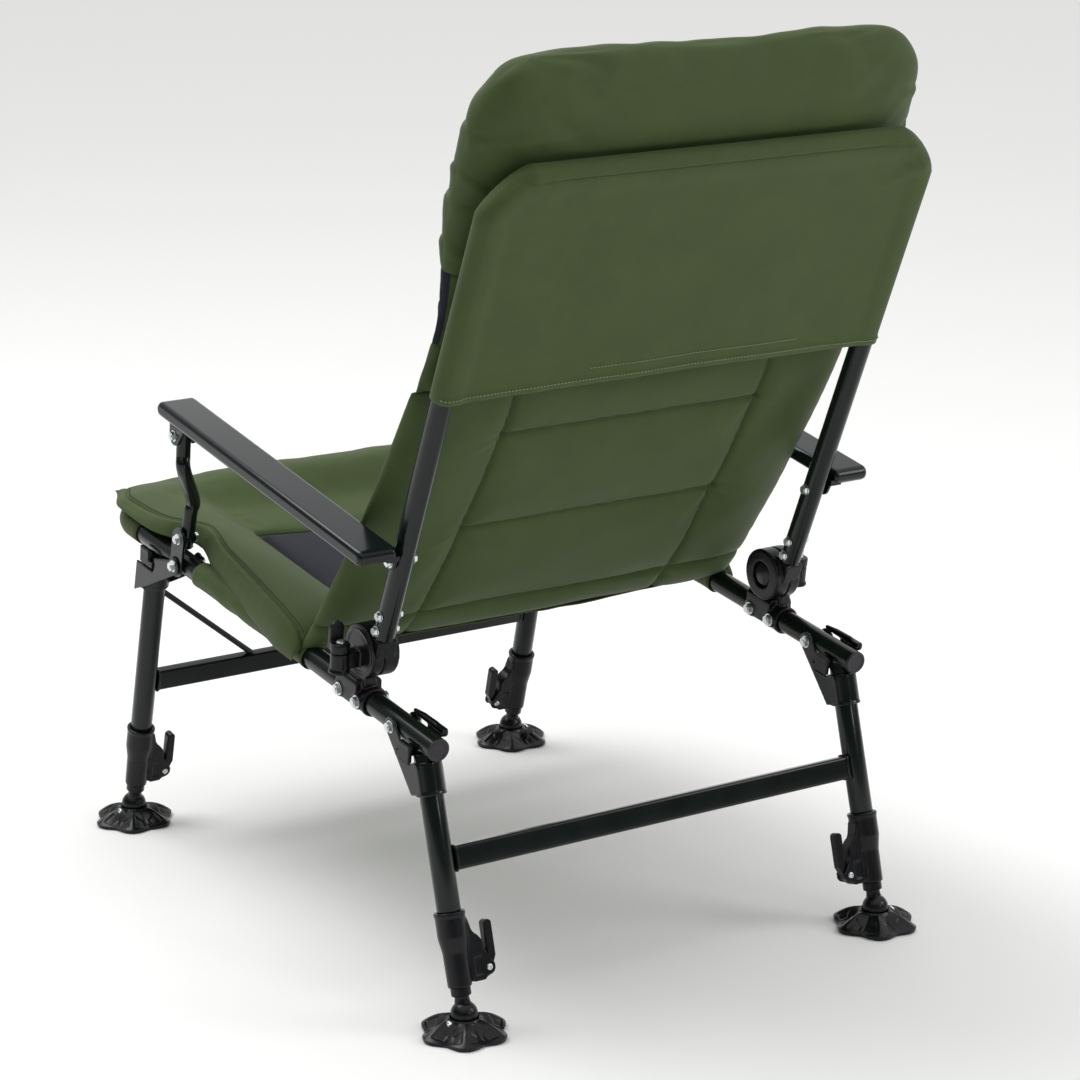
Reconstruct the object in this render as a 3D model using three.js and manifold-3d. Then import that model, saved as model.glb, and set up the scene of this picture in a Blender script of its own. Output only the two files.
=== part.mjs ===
// A folding, reclining fishing chair with a padded seat and back, flat armrests, telescopic legs
// and swivelling mud feet. Millimetres, +Z up, the sitter faces -Y and has +X on the left.
import * as THREE from 'three';
import Module from 'manifold-3d';
import { mergeVertices } from 'three/addons/utils/BufferGeometryUtils.js';

const wasm = await Module();
wasm.setup();

// Driving dimensions. Lengths are in millimetres, angles in degrees.
const gap = 0.3; // between pieces that touch
const overrun = 4; // how far a cut runs past the face it opens
const weld = 0.0005; // vertices closer than this are one
const frameShift = -10.1; // puts the middle of the chair's length over the origin

const rail = {
  spread: 268, radius: 12.5, wall: 1.5, height: 330, tilt: 6.96, rearEnd: 320, frontBar: -389, bend: 45,
};
const cap = { lip: 3, plug: 12 };
const hub = { along: 173.1, above: 51.4, radius: 29, recline: 22.88 };
const backTube = {
  spread: 263, width: 22, depth: 24, wall: 1.6, behind: 16.5, bottom: 30, top: 566, bend: 60,
};
const screw = { radius: 4, head: 6.7, thick: 5 };

const rearLeg = {
  side: 1, crossing: 292.11, splay: 15.85, pivot: 252.4, crossbar: 181, strip: 0, sleeve: 33.2,
  hookDrop: 0,
};
const frontLeg = {
  side: -1, crossing: 286.9, splay: 13.55, pivot: 216.6, crossbar: 191, strip: 3.4, sleeve: 59.37,
  hookDrop: 4,
};
const legTube = { radius: 12.5, bore: 11, bottom: 98, closedTop: 10, sleeve: 15.5 };
const cheek = { inner: 13, thick: 2.5, boss: 11, lowered: 25, neck: 6 };
const crossTube = { high: 25, deep: 14 };
const brace = { radius: 3.5, aboveSleeve: 15, topIn: 12, reach: 127 };

const collar = {
  top: 129, shoulder: 101, waist: 87, bottom: 51, upper: 15.7, lower: 12.6, bore: 9.95, mouth: 12.8,
};
const housing = {
  deep: 16, reach: 30, top: 106, high: 122, bottom: 53, earReach: 41, earTop: 84, ear: 2.7,
};
const cam = {
  out: 33, height: 65, lobe: 6.6, thick: 10, bladeIn: 42, bladeOut: 51.5, bladeTop: 111,
  lobeShares: { root: 0.8, inner: 2, outer: 1.6, heel: 0.3 },
};
const stem = { radius: 9.6, bore: 8, top: 205, shoulder: 10.5, shoulderTop: 50.6, neck: 7.5, neckTop: 42 };
const ball = { radius: 13.5, height: 22 };
const mudFoot = {
  radius: 46, waist: 39, rim: 4.5, hub: 17, hubTop: 22.5, ridge: 13, ridgeShare: 0.6, lobes: 6, seat: 12,
};

const latch = {
  webLong: 12, webTop: 14.3, thick: 7, arm: 16.2, armThick: 3.8, lipTop: 15.7, lipBottom: 10.8,
  lipReach: 13.2, lip: 14, bladeFront: 15, bladeBack: 47, bladeStep: 28, bladeLow: 7.6,
  button: 4.6, buttonTop: -2, buttonBack: 14, buttonLong: 20, bore: 1.5,
};
const saddle = {
  half: 15.8, front: 138, rear: 197, low: 10, high: 22, neckFront: 152, neckRear: 190,
  discIn: 262.5, discOut: 277, boltFront: 149, boltRear: 185.3,
};
const barrel = {
  x: 298, forward: 2.6, radius: 10, low: 30, high: 53, flange: 11.4, flangeHigh: 4, pin: 3.5,
};
const clamp = {
  high: 10.2, bladeHigh: 31, bladeWide: 16, bladeThick: 5, bladeOff: 9.5, headRadius: 4.8, head: 2.4,
};
const rotor = {
  inner: 244, outer: 262.2, recess: 12.5, recessDeep: 6, boltHead: 11.8, bolt: 5, neckFront: 9, stub: 72,
};

const armrest = {
  centre: 302, wide: 44, thick: 17, rise: 5.7, rear: 16.5, front: 424, tilt: 2.2, nose: 8.3,
};
const armPivot = { up: 128.3, earIn: 275.6, ear: 3, earLong: 14, earLow: 9 };
const clevis = { along: 399.2, below: 11.7, half: 9.2, ear: 2.5, long: 26, low: 11, plate: 2.5 };
const post = { foot: 212.6, footUp: 33.5, radius: 8, x: 271.5, below: 12, above: 6 };
const postBend = { low: 50, high: 107, back: 14.5, forward: 4, lowEase: 18, highEase: 16 };
const strip = { thick: 3, boss: 13 };

const sleeve = { wall: 2, from: -180, to: 67, front: -318 };
const sling = {
  edge: 259, notch: 238, edgeUp: 9.4, sag: 21, thick: 2.2, notchFrom: -326, notchTo: -176, rear: 67,
};
const seatPad = {
  front: -404, rear: 56, half: 286, waist: 255, waistAt: -212, waistLong: 95, over: 16, rimUp: 5,
  bolster: 30, middle: 19, mesh: 165, roll: 46, corner: 34, bar: 60, lieTo: 170, liftTo: 240,
  seamWide: 10, rollShare: 0.3, seamShare: 0.35,
};
const backPad = {
  low: -50, split: 120, high: 311, half: 279.2, halfTop: 275, thick: 36, seamX: 155, groove: 10,
  planeAt: 284, planeBack: -22.5, slopeShare: 0.13, bow: 21, seams: [257, -17],
  frontShare: 0.28, rearShare: 0.4,
};
const headPad = {
  high: 681, half: 270, corner: 75, bulge: 82, thin: 50, out: -38.8,
  cornerShare: 0.8, swellShare: 3,
};
// How square each cushion's rims and ends are: the exponent of the curve they round off with.
const crownShares = { seatRim: 8, backRim: 8, backEnd: 10, headRim: 6, headEnd: 8 };
const cover = { low: 312, wall: 1.9, sheet: 1.1 };

// Counts of faces on round shapes.
const sides = { tube: 12, disc: 24, fine: 14, small: 8, hex: 6, bend: 5, lobe: 4 };

// Colours and finishes.
const finish = {
  paint: material(0x1e2724, 0.35, 0.55),
  plastic: material(0x15161a, 0.45, 0),
  armPlastic: material(0x202626, 0.28, 0.1),
  zinc: material(0xb9bdbb, 0.3, 0.9),
  fabric: material(0x445330, 0.85, 0),
  fabricPad: material(0x4a5c34, 0.85, 0),
};

function material(color, roughness, metalness) {
  return new THREE.MeshStandardMaterial({ color, roughness, metalness });
}

function radians(degrees) {
  return THREE.MathUtils.degToRad(degrees);
}

// Solids: closed surfaces in, closed surfaces out.
function solid(geometry) {
  const bare = new THREE.BufferGeometry().setAttribute('position', geometry.getAttribute('position'));
  if (geometry.index) bare.setIndex(geometry.index);
  const merged = mergeVertices(bare, weld);
  const triVerts = new Uint32Array(merged.index.array);
  const made = new wasm.Manifold(
    new wasm.Mesh({ numProp: 3, vertProperties: merged.attributes.position.array, triVerts }),
  );
  if (made.volume() > 0) return made;
  for (let i = 0; i < triVerts.length; i += 3) {
    [triVerts[i + 1], triVerts[i + 2]] = [triVerts[i + 2], triVerts[i + 1]];
  }
  return new wasm.Manifold(
    new wasm.Mesh({ numProp: 3, vertProperties: merged.attributes.position.array, triVerts }),
  );
}

function surface(body) {
  const mesh = body.getMesh();
  const step = mesh.numProp;
  const points = new Float32Array(mesh.numVert * 3);
  for (let i = 0; i < mesh.numVert; i++) {
    points.set(mesh.vertProperties.subarray(i * step, i * step + 3), i * 3);
  }
  const geometry = new THREE.BufferGeometry();
  geometry.setAttribute('position', new THREE.BufferAttribute(points, 3));
  geometry.setIndex(new THREE.BufferAttribute(mesh.triVerts, 1));
  geometry.computeVertexNormals();
  return geometry;
}

function join(...pieces) {
  return surface(pieces.map(solid).reduce((all, next) => all.add(next)));
}

function cut(base, ...tools) {
  return surface(tools.map(solid).reduce((left, tool) => left.subtract(tool), solid(base)));
}

// A round bar along one axis, between two places on that axis.
function rod(axis, radius, from, to, at = [0, 0, 0], faces = sides.tube) {
  const geometry = new THREE.CylinderGeometry(radius, radius, Math.abs(to - from), faces);
  const middle = (from + to) / 2;
  if (axis === 'x') geometry.rotateZ(Math.PI / 2).translate(middle, at[1], at[2]);
  if (axis === 'y') geometry.translate(at[0], middle, at[2]);
  if (axis === 'z') geometry.rotateX(Math.PI / 2).translate(at[0], at[1], middle);
  return geometry;
}

function rodBetween(start, end, radius, faces) {
  const along = new THREE.Vector3().subVectors(end, start);
  const upright = new THREE.Vector3(0, 1, 0);
  const turn = new THREE.Quaternion().setFromUnitVectors(upright, along.clone().normalize());
  return new THREE.CylinderGeometry(radius, radius, along.length(), faces)
    .applyQuaternion(turn)
    .translate(...start.clone().add(end).multiplyScalar(0.5).toArray());
}

function block([x0, x1], [y0, y1], [z0, z1]) {
  return new THREE.BoxGeometry(Math.abs(x1 - x0), Math.abs(y1 - y0), Math.abs(z1 - z0))
    .translate((x0 + x1) / 2, (y0 + y1) / 2, (z0 + z1) / 2);
}

function shapeOf(points) {
  return new THREE.Shape(points.map(([u, v]) => new THREE.Vector2(u, v)));
}

// A plate with its outline in Y and Z, between two places on X.
function plateYZ(points, x0, x1) {
  const turn = new THREE.Matrix4().makeBasis(
    new THREE.Vector3(0, 1, 0), new THREE.Vector3(0, 0, 1), new THREE.Vector3(1, 0, 0),
  );
  return new THREE.ExtrudeGeometry(shapeOf(points), { depth: Math.abs(x1 - x0), bevelEnabled: false })
    .applyMatrix4(turn)
    .translate(Math.min(x0, x1), 0, 0);
}

// A plate with its outline in X and Z, centred on Y.
function plateXZ(points, thick, y = 0) {
  return new THREE.ExtrudeGeometry(shapeOf(points), { depth: thick, bevelEnabled: false })
    .translate(0, 0, -thick / 2)
    .rotateX(Math.PI / 2)
    .translate(0, y, 0);
}

// Points on an arc, in a plane, from one angle to another in degrees.
function arc(u, v, radius, from, to, steps) {
  return Array.from({ length: steps + 1 }, (_, i) => {
    const a = radians(from + ((to - from) * i) / steps);
    return [u + radius * Math.cos(a), v + radius * Math.sin(a)];
  });
}

// A route whose rings stand exactly at its stations.
class Stations extends THREE.Curve {
  constructor(points) {
    super();
    this.points = points.map((p) => new THREE.Vector3(...p));
  }
  getPointAt(share, target = new THREE.Vector3()) {
    return target.copy(this.points[Math.round(share * (this.points.length - 1))]);
  }
  getPoint(share, target) {
    return this.getPointAt(share, target);
  }
  getTangentAt(share, target = new THREE.Vector3()) {
    const i = Math.round(share * (this.points.length - 1));
    const before = this.points[Math.max(i - 1, 0)];
    const after = this.points[Math.min(i + 1, this.points.length - 1)];
    const here = this.points[i];
    const back = new THREE.Vector3().subVectors(here, before).normalize();
    const ahead = new THREE.Vector3().subVectors(after, here).normalize();
    return target.copy(back.add(ahead).normalize());
  }
}

function sweep(section, points) {
  return new THREE.ExtrudeGeometry(section, {
    steps: points.length - 1, extrudePath: new Stations(points), bevelEnabled: false,
  });
}

function ovalSection(halfU, halfV, faces, wall = 0) {
  const ring = (u, v) => Array.from({ length: faces }, (_, i) => {
    const a = (2 * Math.PI * (i + 0.5)) / faces;
    return new THREE.Vector2(u * Math.cos(a), v * Math.sin(a));
  });
  const section = new THREE.Shape(ring(halfU, halfV));
  if (wall > 0) section.holes.push(new THREE.Path(ring(halfU - wall, halfV - wall)));
  return section;
}

// Turns a point given in the chair's side view into a frame with its own origin and tilt.
function inFrame([y, z], frame) {
  const a = radians(frame.tilt);
  const dy = y - frame.y;
  const dz = z - frame.z;
  return [dy * Math.cos(a) + dz * Math.sin(a), -dy * Math.sin(a) + dz * Math.cos(a)];
}

function outOfFrame([y, z], frame) {
  const a = radians(frame.tilt);
  return [frame.y + y * Math.cos(a) - z * Math.sin(a), frame.z + y * Math.sin(a) + z * Math.cos(a)];
}

// The frames of the chair, seen from the side.
const seatFrame = { y: 0, z: rail.height, tilt: -rail.tilt };
const hubAt = outOfFrame([hub.along, hub.above], seatFrame);
const backFrame = { y: hubAt[0], z: hubAt[1], tilt: -hub.recline };
const postAt = outOfFrame([-post.foot, post.footUp], seatFrame);
const armAt = outOfFrame([backTube.behind, armPivot.up], backFrame);
const armFrame = { y: armAt[0], z: armAt[1], tilt: -rail.tilt - armrest.tilt };
const postTopAt = outOfFrame([-clevis.along, -clevis.below], armFrame);
const postTilt = THREE.MathUtils.radToDeg(Math.atan2(postTopAt[0] - postAt[0], postTopAt[1] - postAt[1]));
const postFrame = { y: postAt[0], z: postAt[1], tilt: -postTilt };
const postLength = Math.hypot(postTopAt[0] - postAt[0], postTopAt[1] - postAt[1]);

function legFrame(leg) {
  const tilt = leg.side * leg.splay;
  const [y, z] = outOfFrame([leg.side * leg.crossing, 0], seatFrame);
  return { y: y + z * Math.tan(radians(tilt)), z: 0, tilt };
}

const chair = new THREE.Group();
chair.position.y = frameShift;

function groupIn(frame, mirrored = false) {
  const group = new THREE.Group();
  group.position.set(0, frame.y, frame.z);
  group.rotation.x = radians(frame.tilt);
  if (mirrored) group.scale.x = -1;
  chair.add(group);
  return group;
}

function add(group, name, geometry, look) {
  const mesh = new THREE.Mesh(geometry, look);
  mesh.name = name;
  group.add(mesh);
}

const hands = [
  { name: 'left', mirrored: false },
  { name: 'right', mirrored: true },
];

// The radius of a many-sided hole whose flats stand clear of a round piece.
function clearing(radius, faces) {
  return (radius + gap) / Math.cos(Math.PI / faces);
}

// The envelope of a rail, in the seat's frame, that pieces around it keep clear of.
function railEnvelope() {
  return rod(
    'y', clearing(rail.radius, sides.fine), rail.frontBar - overrun, rail.rearEnd + overrun,
    [rail.spread, 0, 0], sides.fine,
  );
}

function boltHole(at, from = 0, to = 2 * rail.spread) {
  return rod('x', clearing(screw.radius, sides.small), from, to, at, sides.small);
}

// Seat frame: one U of tube with two rails and a front bar.
function railRoute() {
  const corner = rail.spread - rail.bend;
  const turn = rail.frontBar + rail.bend;
  const left = arc(corner, turn, rail.bend, 0, -90, sides.bend);
  const right = arc(-corner, turn, rail.bend, -90, -180, sides.bend);
  return [[rail.spread, rail.rearEnd], ...left, ...right, [-rail.spread, rail.rearEnd]]
    .map(([x, y]) => [x, y, 0]);
}

function seatTube() {
  const tube = sweep(ovalSection(rail.radius, rail.radius, sides.tube, rail.wall), railRoute());
  const holes = [rearLeg, frontLeg].map((leg) => boltHole([0, leg.side * leg.pivot, 0], -2 * rail.spread));
  return cut(tube, ...holes);
}

function railCap() {
  const plugRadius = (rail.radius - rail.wall) * Math.cos(Math.PI / sides.tube) - gap;
  return join(
    rod('y', rail.radius, rail.rearEnd + gap, rail.rearEnd + cap.lip, [rail.spread, 0, 0]),
    rod('y', plugRadius, rail.rearEnd - cap.plug, rail.rearEnd + cap.lip / 2, [rail.spread, 0, 0]),
  );
}

// Back frame: an upturned U of oval tube.
function backRoute() {
  const corner = backTube.spread - backTube.bend;
  const turn = backTube.top - backTube.bend;
  const left = arc(corner, turn, backTube.bend, 0, 90, sides.bend);
  const right = arc(-corner, turn, backTube.bend, 90, 180, sides.bend);
  return [[backTube.spread, backTube.bottom], ...left, ...right, [-backTube.spread, backTube.bottom]]
    .map(([x, z]) => [x, backTube.behind, z]);
}

function backBow() {
  const tube = sweep(
    ovalSection(backTube.depth / 2, backTube.width / 2, sides.tube, backTube.wall), backRoute(),
  );
  return cut(tube, boltHole([0, backTube.behind, armPivot.up], -2 * rail.spread));
}

// Recliner hub, fixed half: a saddle on the rail, a disc and the boss of the clamping lever.
function hexHeads(xs, along, above, out) {
  return xs.map(([x, side]) => rod('x', screw.head, x, x + side * out, [0, along, above], sides.hex));
}

function barrelAt() {
  return [barrel.x, hub.along - barrel.forward, 0];
}

function hubSaddle() {
  const x = rail.spread;
  const grip = cut(
    block([x - saddle.half, x + saddle.half], [saddle.front, saddle.rear], [-saddle.low, saddle.high]),
    railEnvelope(),
  );
  const neck = block(
    [saddle.discIn, saddle.discOut], [saddle.neckFront, saddle.neckRear],
    [saddle.high - overrun, hub.above],
  );
  const disc = rod('x', hub.radius, saddle.discIn, saddle.discOut, [0, hub.along, hub.above], sides.disc);
  const arm = block(
    [saddle.discOut - overrun, barrel.x], [hub.along - barrel.radius, hub.along + barrel.radius / 2],
    [barrel.low + barrel.flangeHigh, barrel.high],
  );
  const headTop = barrel.high + clamp.high + clamp.head;
  const tower = [
    rod('z', barrel.radius, barrel.low, barrel.high, barrelAt(), sides.fine),
    rod('z', barrel.flange, barrel.low, barrel.low + barrel.flangeHigh, barrelAt(), sides.fine),
    rod('z', barrel.pin, barrel.low, headTop, barrelAt(), sides.small),
    rod('z', clamp.headRadius, barrel.high + clamp.high + 2 * gap, headTop, barrelAt()),
  ];
  const heads = [saddle.boltFront, saddle.boltRear].flatMap((along) => hexHeads(
    [[x + saddle.half - gap, 1], [x - saddle.half + gap, -1]], along, 0, screw.thick,
  ));
  const bore = rod(
    'x', clearing(rotor.bolt, sides.tube), saddle.discIn - overrun, barrel.x - barrel.radius,
    [0, hub.along, hub.above],
  );
  return cut(join(grip, neck, disc, arm, ...tower, ...heads), bore);
}

function hubLever() {
  const [x, y] = barrelAt();
  const low = barrel.high + gap;
  const high = barrel.high + clamp.high;
  const half = clamp.bladeWide / 2;
  const tip = arc(x, low + clamp.bladeHigh - half, half, 0, 180, sides.bend);
  const blade = plateXZ([[x + half, low], ...tip, [x - half, low]], clamp.bladeThick, y - clamp.bladeOff);
  const boss = rod('z', barrel.radius + gap, low, high, [x, y, 0], sides.fine);
  const bore = rod(
    'z', clearing(barrel.pin, sides.small), low - overrun, high + overrun, [x, y, 0], sides.small,
  );
  return cut(join(boss, blade), bore);
}

// Recliner hub, turning half: a disc with a lug that plugs into the back tube.
function hubRotor() {
  const disc = rod('x', hub.radius, rotor.inner, rotor.outer, [0, 0, 0], sides.disc);
  const tubeInX = backTube.width / 2 - backTube.wall - 2 * gap;
  const tubeInY = backTube.depth / 2 - backTube.wall - 2 * gap;
  const plug = sweep(
    ovalSection(tubeInY, tubeInX, sides.tube),
    [backTube.bottom - overrun, rotor.stub].map((z) => [backTube.spread, backTube.behind, z]),
  );
  const neck = block(
    [backTube.spread - backTube.width / 2, backTube.spread + backTube.width / 2],
    [backTube.behind - rotor.neckFront, backTube.behind + backTube.depth / 2 - gap],
    [0, backTube.bottom - gap],
  );
  const clear = rod(
    'x', clearing(hub.radius, sides.disc), rotor.outer, saddle.discOut + overrun, [0, 0, 0], sides.disc,
  );
  const recess = rod(
    'x', rotor.recess, rotor.inner - overrun, rotor.inner + rotor.recessDeep, [0, 0, 0], sides.fine,
  );
  const bore = rod('x', clearing(rotor.bolt, sides.tube), rotor.inner - overrun, rotor.outer + overrun);
  return cut(join(disc, cut(join(neck, plug), clear)), recess, bore);
}

function hubBolt() {
  const centre = [0, hub.along, hub.above];
  const floor = rotor.inner + rotor.recessDeep;
  return join(
    rod('x', rotor.boltHead, rotor.inner + 2 * gap, floor - gap, centre, sides.fine),
    rod('x', rotor.bolt, floor - 2 * gap, barrel.x - barrel.radius - gap, centre),
  );
}

// Armrest: a flat bar with round ends and an ear that hangs beside the back tube.
function armBar() {
  const half = armrest.thick / 2;
  const middle = armrest.rise + half;
  const profile = [
    ...arc(armrest.rear - half, middle, half, -90, 90, sides.bend),
    ...arc(-armrest.front + half, middle, half, 90, 270, sides.bend),
  ];
  const x0 = armrest.centre - armrest.wide / 2;
  const x1 = armrest.centre + armrest.wide / 2;
  const shoulder = armrest.nose / 2;
  const wide = plateYZ(profile, x0 + shoulder, x1 - shoulder);
  const slim = plateYZ(profile.map(([y, z]) => [
    y + (y > 0 ? -shoulder : shoulder) / 2, middle + (z - middle) * (1 - shoulder / armrest.thick),
  ]), x0, x1);
  const earOut = armPivot.earIn + armPivot.ear;
  const ear = plateYZ([
    [armPivot.earLong, armrest.rise + half], [-armPivot.earLong, armrest.rise + half],
    ...arc(0, 0, armPivot.earLow, 200, 340, sides.bend),
  ], armPivot.earIn, earOut);
  const bridge = block(
    [armPivot.earIn, x0 + overrun], [-armPivot.earLong, armPivot.earLong],
    [armrest.rise, armrest.rise + half],
  );
  const room = rod(
    'x', clearing(screw.head, sides.small), earOut, armrest.centre, [0, 0, 0], sides.small,
  );
  return cut(join(wide, slim, ear, bridge), boltHole([0, 0, 0]), room);
}

function throughBolt(inner, outer, at = [0, 0, 0]) {
  return join(
    rod('x', screw.radius, inner - screw.thick / 2, outer + screw.thick / 2, at, sides.small),
    rod('x', screw.head, inner - screw.thick, inner - gap, at, sides.hex),
    rod('x', screw.head, outer + gap, outer + screw.thick, at, sides.hex),
  );
}

function armRearBolt() {
  return throughBolt(backTube.spread - backTube.width / 2, armPivot.earIn + armPivot.ear);
}

function armClevis() {
  const out = clevis.half + clevis.ear;
  const centre = -clevis.along;
  const top = armrest.rise - gap;
  const ears = [-1, 1].map((s) => plateYZ([
    [centre + clevis.long / 2, top], [centre - clevis.long / 2, top],
    ...arc(centre, -clevis.below, clevis.low, 190, 350, sides.bend),
  ], armrest.centre + s * clevis.half, armrest.centre + s * out));
  const plate = block(
    [armrest.centre - out, armrest.centre + out],
    [centre - clevis.long / 2, centre + clevis.long / 2 + clevis.long / 2], [top - clevis.plate, top],
  );
  return cut(join(...ears, plate), boltHole([0, centre, -clevis.below]));
}

// The front pivot's screw holds the outer ear only, so the post's top is free to leave it.
function clevisScrew() {
  const face = armrest.centre + clevis.half;
  const at = [0, -clevis.along, -clevis.below];
  return join(
    rod('x', screw.radius, face, face + clevis.ear + screw.thick / 2, at, sides.small),
    rod('x', screw.head, face + clevis.ear + gap, face + clevis.ear + screw.thick, at, sides.hex),
  );
}

// Arm post: a tube bent twice, from the strip on the rail up to the clevis.
function armPost() {
  const route = new THREE.CatmullRomCurve3([
    [post.x, 0, -post.below], [post.x, -postBend.forward, postBend.low - postBend.lowEase],
    [post.x, -postBend.forward, postBend.low],
    [armrest.centre, postBend.back, postBend.high],
    [armrest.centre, postBend.back / 2, postBend.high + postBend.highEase],
    [armrest.centre, 0, postLength + post.above],
  ].map((p) => new THREE.Vector3(...p)), false, 'centripetal');
  const tube = new THREE.ExtrudeGeometry(ovalSection(post.radius, post.radius, sides.small), {
    steps: 2 * sides.bend + 3, extrudePath: route, bevelEnabled: false,
  });
  const bush = rod('x', screw.head, post.x, stripX() - gap, [0, 0, 0], sides.small);
  return cut(join(tube, bush), boltHole([0, 0, 0]), boltHole([0, 0, postLength]));
}

function stripX() {
  return rail.spread + rail.radius + 2 * gap;
}

function postStrip() {
  const low = [-frontLeg.pivot, 0];
  const high = [-post.foot, post.footUp];
  const outline = [
    ...arc(...high, strip.boss, 0, 180, sides.bend), ...arc(...low, strip.boss, 180, 360, sides.bend),
  ];
  const outer = stripX() + strip.thick;
  const inner = post.x - post.radius - gap;
  const pin = [0, high[0], high[1]];
  return join(
    cut(plateYZ(outline, stripX(), outer), boltHole([0, ...low])),
    rod('x', screw.radius, inner - screw.thick / 2, outer + screw.thick / 2, pin, sides.small),
    rod('x', screw.head, outer - gap, outer + screw.thick, pin, sides.hex),
    rod('x', screw.head, inner - screw.thick, inner, pin, sides.hex),
  );
}

// Legs: a tube with a folded bracket at its top that straddles the rail.
// A place in the seat's frame, as seen in the frame of a leg.
function seatToLeg(point, leg) {
  return inFrame(outOfFrame(point, seatFrame), legFrame(leg));
}

function sleeveTop(leg) {
  return seatToLeg([leg.side * leg.crossing, -cheek.lowered], leg)[1];
}

function sleeveBottom(leg) {
  return sleeveTop(leg) - leg.sleeve;
}

// The rail as it lies in the frame of a leg.
function railInLeg(leg) {
  const ends = [rail.frontBar - overrun, rail.rearEnd + 2 * overrun]
    .map((along) => new THREE.Vector3(rail.spread, ...seatToLeg([along, 0], leg)));
  return rodBetween(...ends, clearing(rail.radius, sides.fine), sides.fine);
}

// Where the leg's tube, below the rail, comes nearest to the latch's web.
function legEdge(leg) {
  const lean = radians(leg.splay + leg.side * rail.tilt);
  const middle = leg.crossing + latch.webTop * Math.tan(lean);
  return middle - legTube.radius / Math.cos(lean) - gap;
}

function cheekOutline(leg) {
  const s = leg.side;
  const boss = arc(leg.pivot, 0, cheek.boss, 20, 215, sides.bend + 1);
  const place = ([u, v]) => seatToLeg([s * u, v], leg);
  const dip = legEdge(leg) - latch.webLong - 2 * gap;
  return [
    [s * legTube.sleeve, sleeveBottom(leg)],
    [s * legTube.sleeve, place([leg.crossing + legTube.sleeve, -cheek.lowered])[1]],
    place([leg.crossing, -cheek.lowered]), place([dip, -cheek.lowered]), place([dip, -cheek.neck]),
    ...boss.map(place), [-s * legTube.sleeve, sleeveBottom(leg)],
  ];
}

function legWithBracket(leg) {
  const x = rail.spread;
  const ringTop = sleeveTop(leg);
  const ringBottom = sleeveBottom(leg);
  const top = seatToLeg([leg.side * leg.crossing, 0], leg)[1];
  const tube = rod('z', legTube.radius, legTube.bottom, top, [x, 0, 0], sides.fine);
  const ring = rod('z', legTube.sleeve, ringBottom, ringTop, [x, 0, 0], sides.fine);
  const outer = cheek.inner + leg.strip;
  const plates = [[-cheek.inner, -cheek.inner - cheek.thick], [outer, outer + cheek.thick]]
    .map(([a, b]) => plateYZ(cheekOutline(leg), x + a, x + b));
  const filler = outer > legTube.sleeve - cheek.thick
    ? [block(
      [x, x + outer + cheek.thick / 2], [-legTube.radius / 2, legTube.radius / 2],
      [ringBottom, ringTop],
    )]
    : [];
  const bore = rod(
    'z', legTube.bore, legTube.bottom - overrun, ringTop - legTube.closedTop, [x, 0, 0], sides.fine,
  );
  const [py, pz] = seatToLeg([leg.side * leg.pivot, 0], leg);
  return cut(join(tube, ring, ...plates, ...filler), bore, boltHole([0, py, pz]), railInLeg(leg));
}

function pivotBolt(leg) {
  const plate = cheek.inner + cheek.thick;
  return throughBolt(rail.spread - plate, rail.spread + plate + leg.strip, [0, leg.side * leg.pivot, 0]);
}

function crossbar(leg) {
  const reach = rail.spread - legTube.radius - gap;
  const height = leg.crossbar;
  const bar = block(
    [-reach, reach], [-crossTube.deep / 2, crossTube.deep / 2],
    [height - crossTube.high / 2, height + crossTube.high / 2],
  );
  if (leg.side > 0) return bar;
  const low = height + crossTube.high / 2 - brace.radius / 2;
  const topOut = rail.spread - legTube.sleeve - brace.topIn;
  const top = sleeveBottom(leg) + brace.aboveSleeve;
  const braces = [-1, 1].map((s) => rodBetween(
    new THREE.Vector3(s * brace.reach, 0, low), new THREE.Vector3(s * topOut, 0, top),
    brace.radius, sides.small,
  ));
  const tabs = [-1, 1].map((s) => block(
    [s * (rail.spread - legTube.sleeve - gap), s * (rail.spread - legTube.sleeve - 2 * brace.topIn)],
    [-brace.radius, brace.radius], [top - 2 * brace.radius, top + brace.radius],
  ));
  return join(bar, ...braces, ...tabs);
}

// Collar that clamps the telescopic leg, with the housing of its cam lever.
function collarBody() {
  const profile = [
    [collar.bore, collar.bottom], [collar.lower, collar.bottom], [collar.lower, collar.waist],
    [collar.upper, collar.shoulder], [collar.upper, collar.top], [collar.mouth, collar.top],
    [collar.mouth, legTube.bottom - gap], [collar.bore, legTube.bottom - gap], [collar.bore, collar.bottom],
  ].map(([r, z]) => new THREE.Vector2(r, z));
  const x = rail.spread;
  const ring = new THREE.LatheGeometry(profile, sides.fine).rotateX(Math.PI / 2).translate(x, 0, 0);
  const inside = collar.mouth - gap;
  const body = plateXZ([
    [x - inside, housing.bottom], [x - housing.reach + housing.ear, housing.bottom],
    [x - housing.reach, housing.bottom + housing.ear], [x - housing.reach, housing.top],
    [x - (housing.reach + collar.upper) / 2, housing.top],
    [x - collar.upper, housing.high], [x - inside, housing.high],
  ], housing.deep);
  const ears = [-1, 1].map((s) => plateXZ([
    [x - housing.reach + housing.ear, housing.bottom], [x - housing.reach + housing.ear, housing.earTop],
    ...arc(x - cam.out, cam.height, housing.earReach - cam.out, 120, 250, sides.bend),
  ], housing.ear, s * (housing.deep - housing.ear) / 2));
  const room = cam.thick / 2 + gap;
  const lobeRoom = rod('y', cam.lobe + gap, -room, room, [x - cam.out, 0, cam.height]);
  const core = [
    rod('z', collar.bore, collar.bottom - overrun, legTube.bottom, [x, 0, 0], sides.fine),
    rod('z', collar.mouth, legTube.bottom - gap, collar.top + overrun, [x, 0, 0], sides.fine),
  ];
  return cut(join(ring, cut(join(body, ...ears), lobeRoom)), ...core);
}

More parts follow.
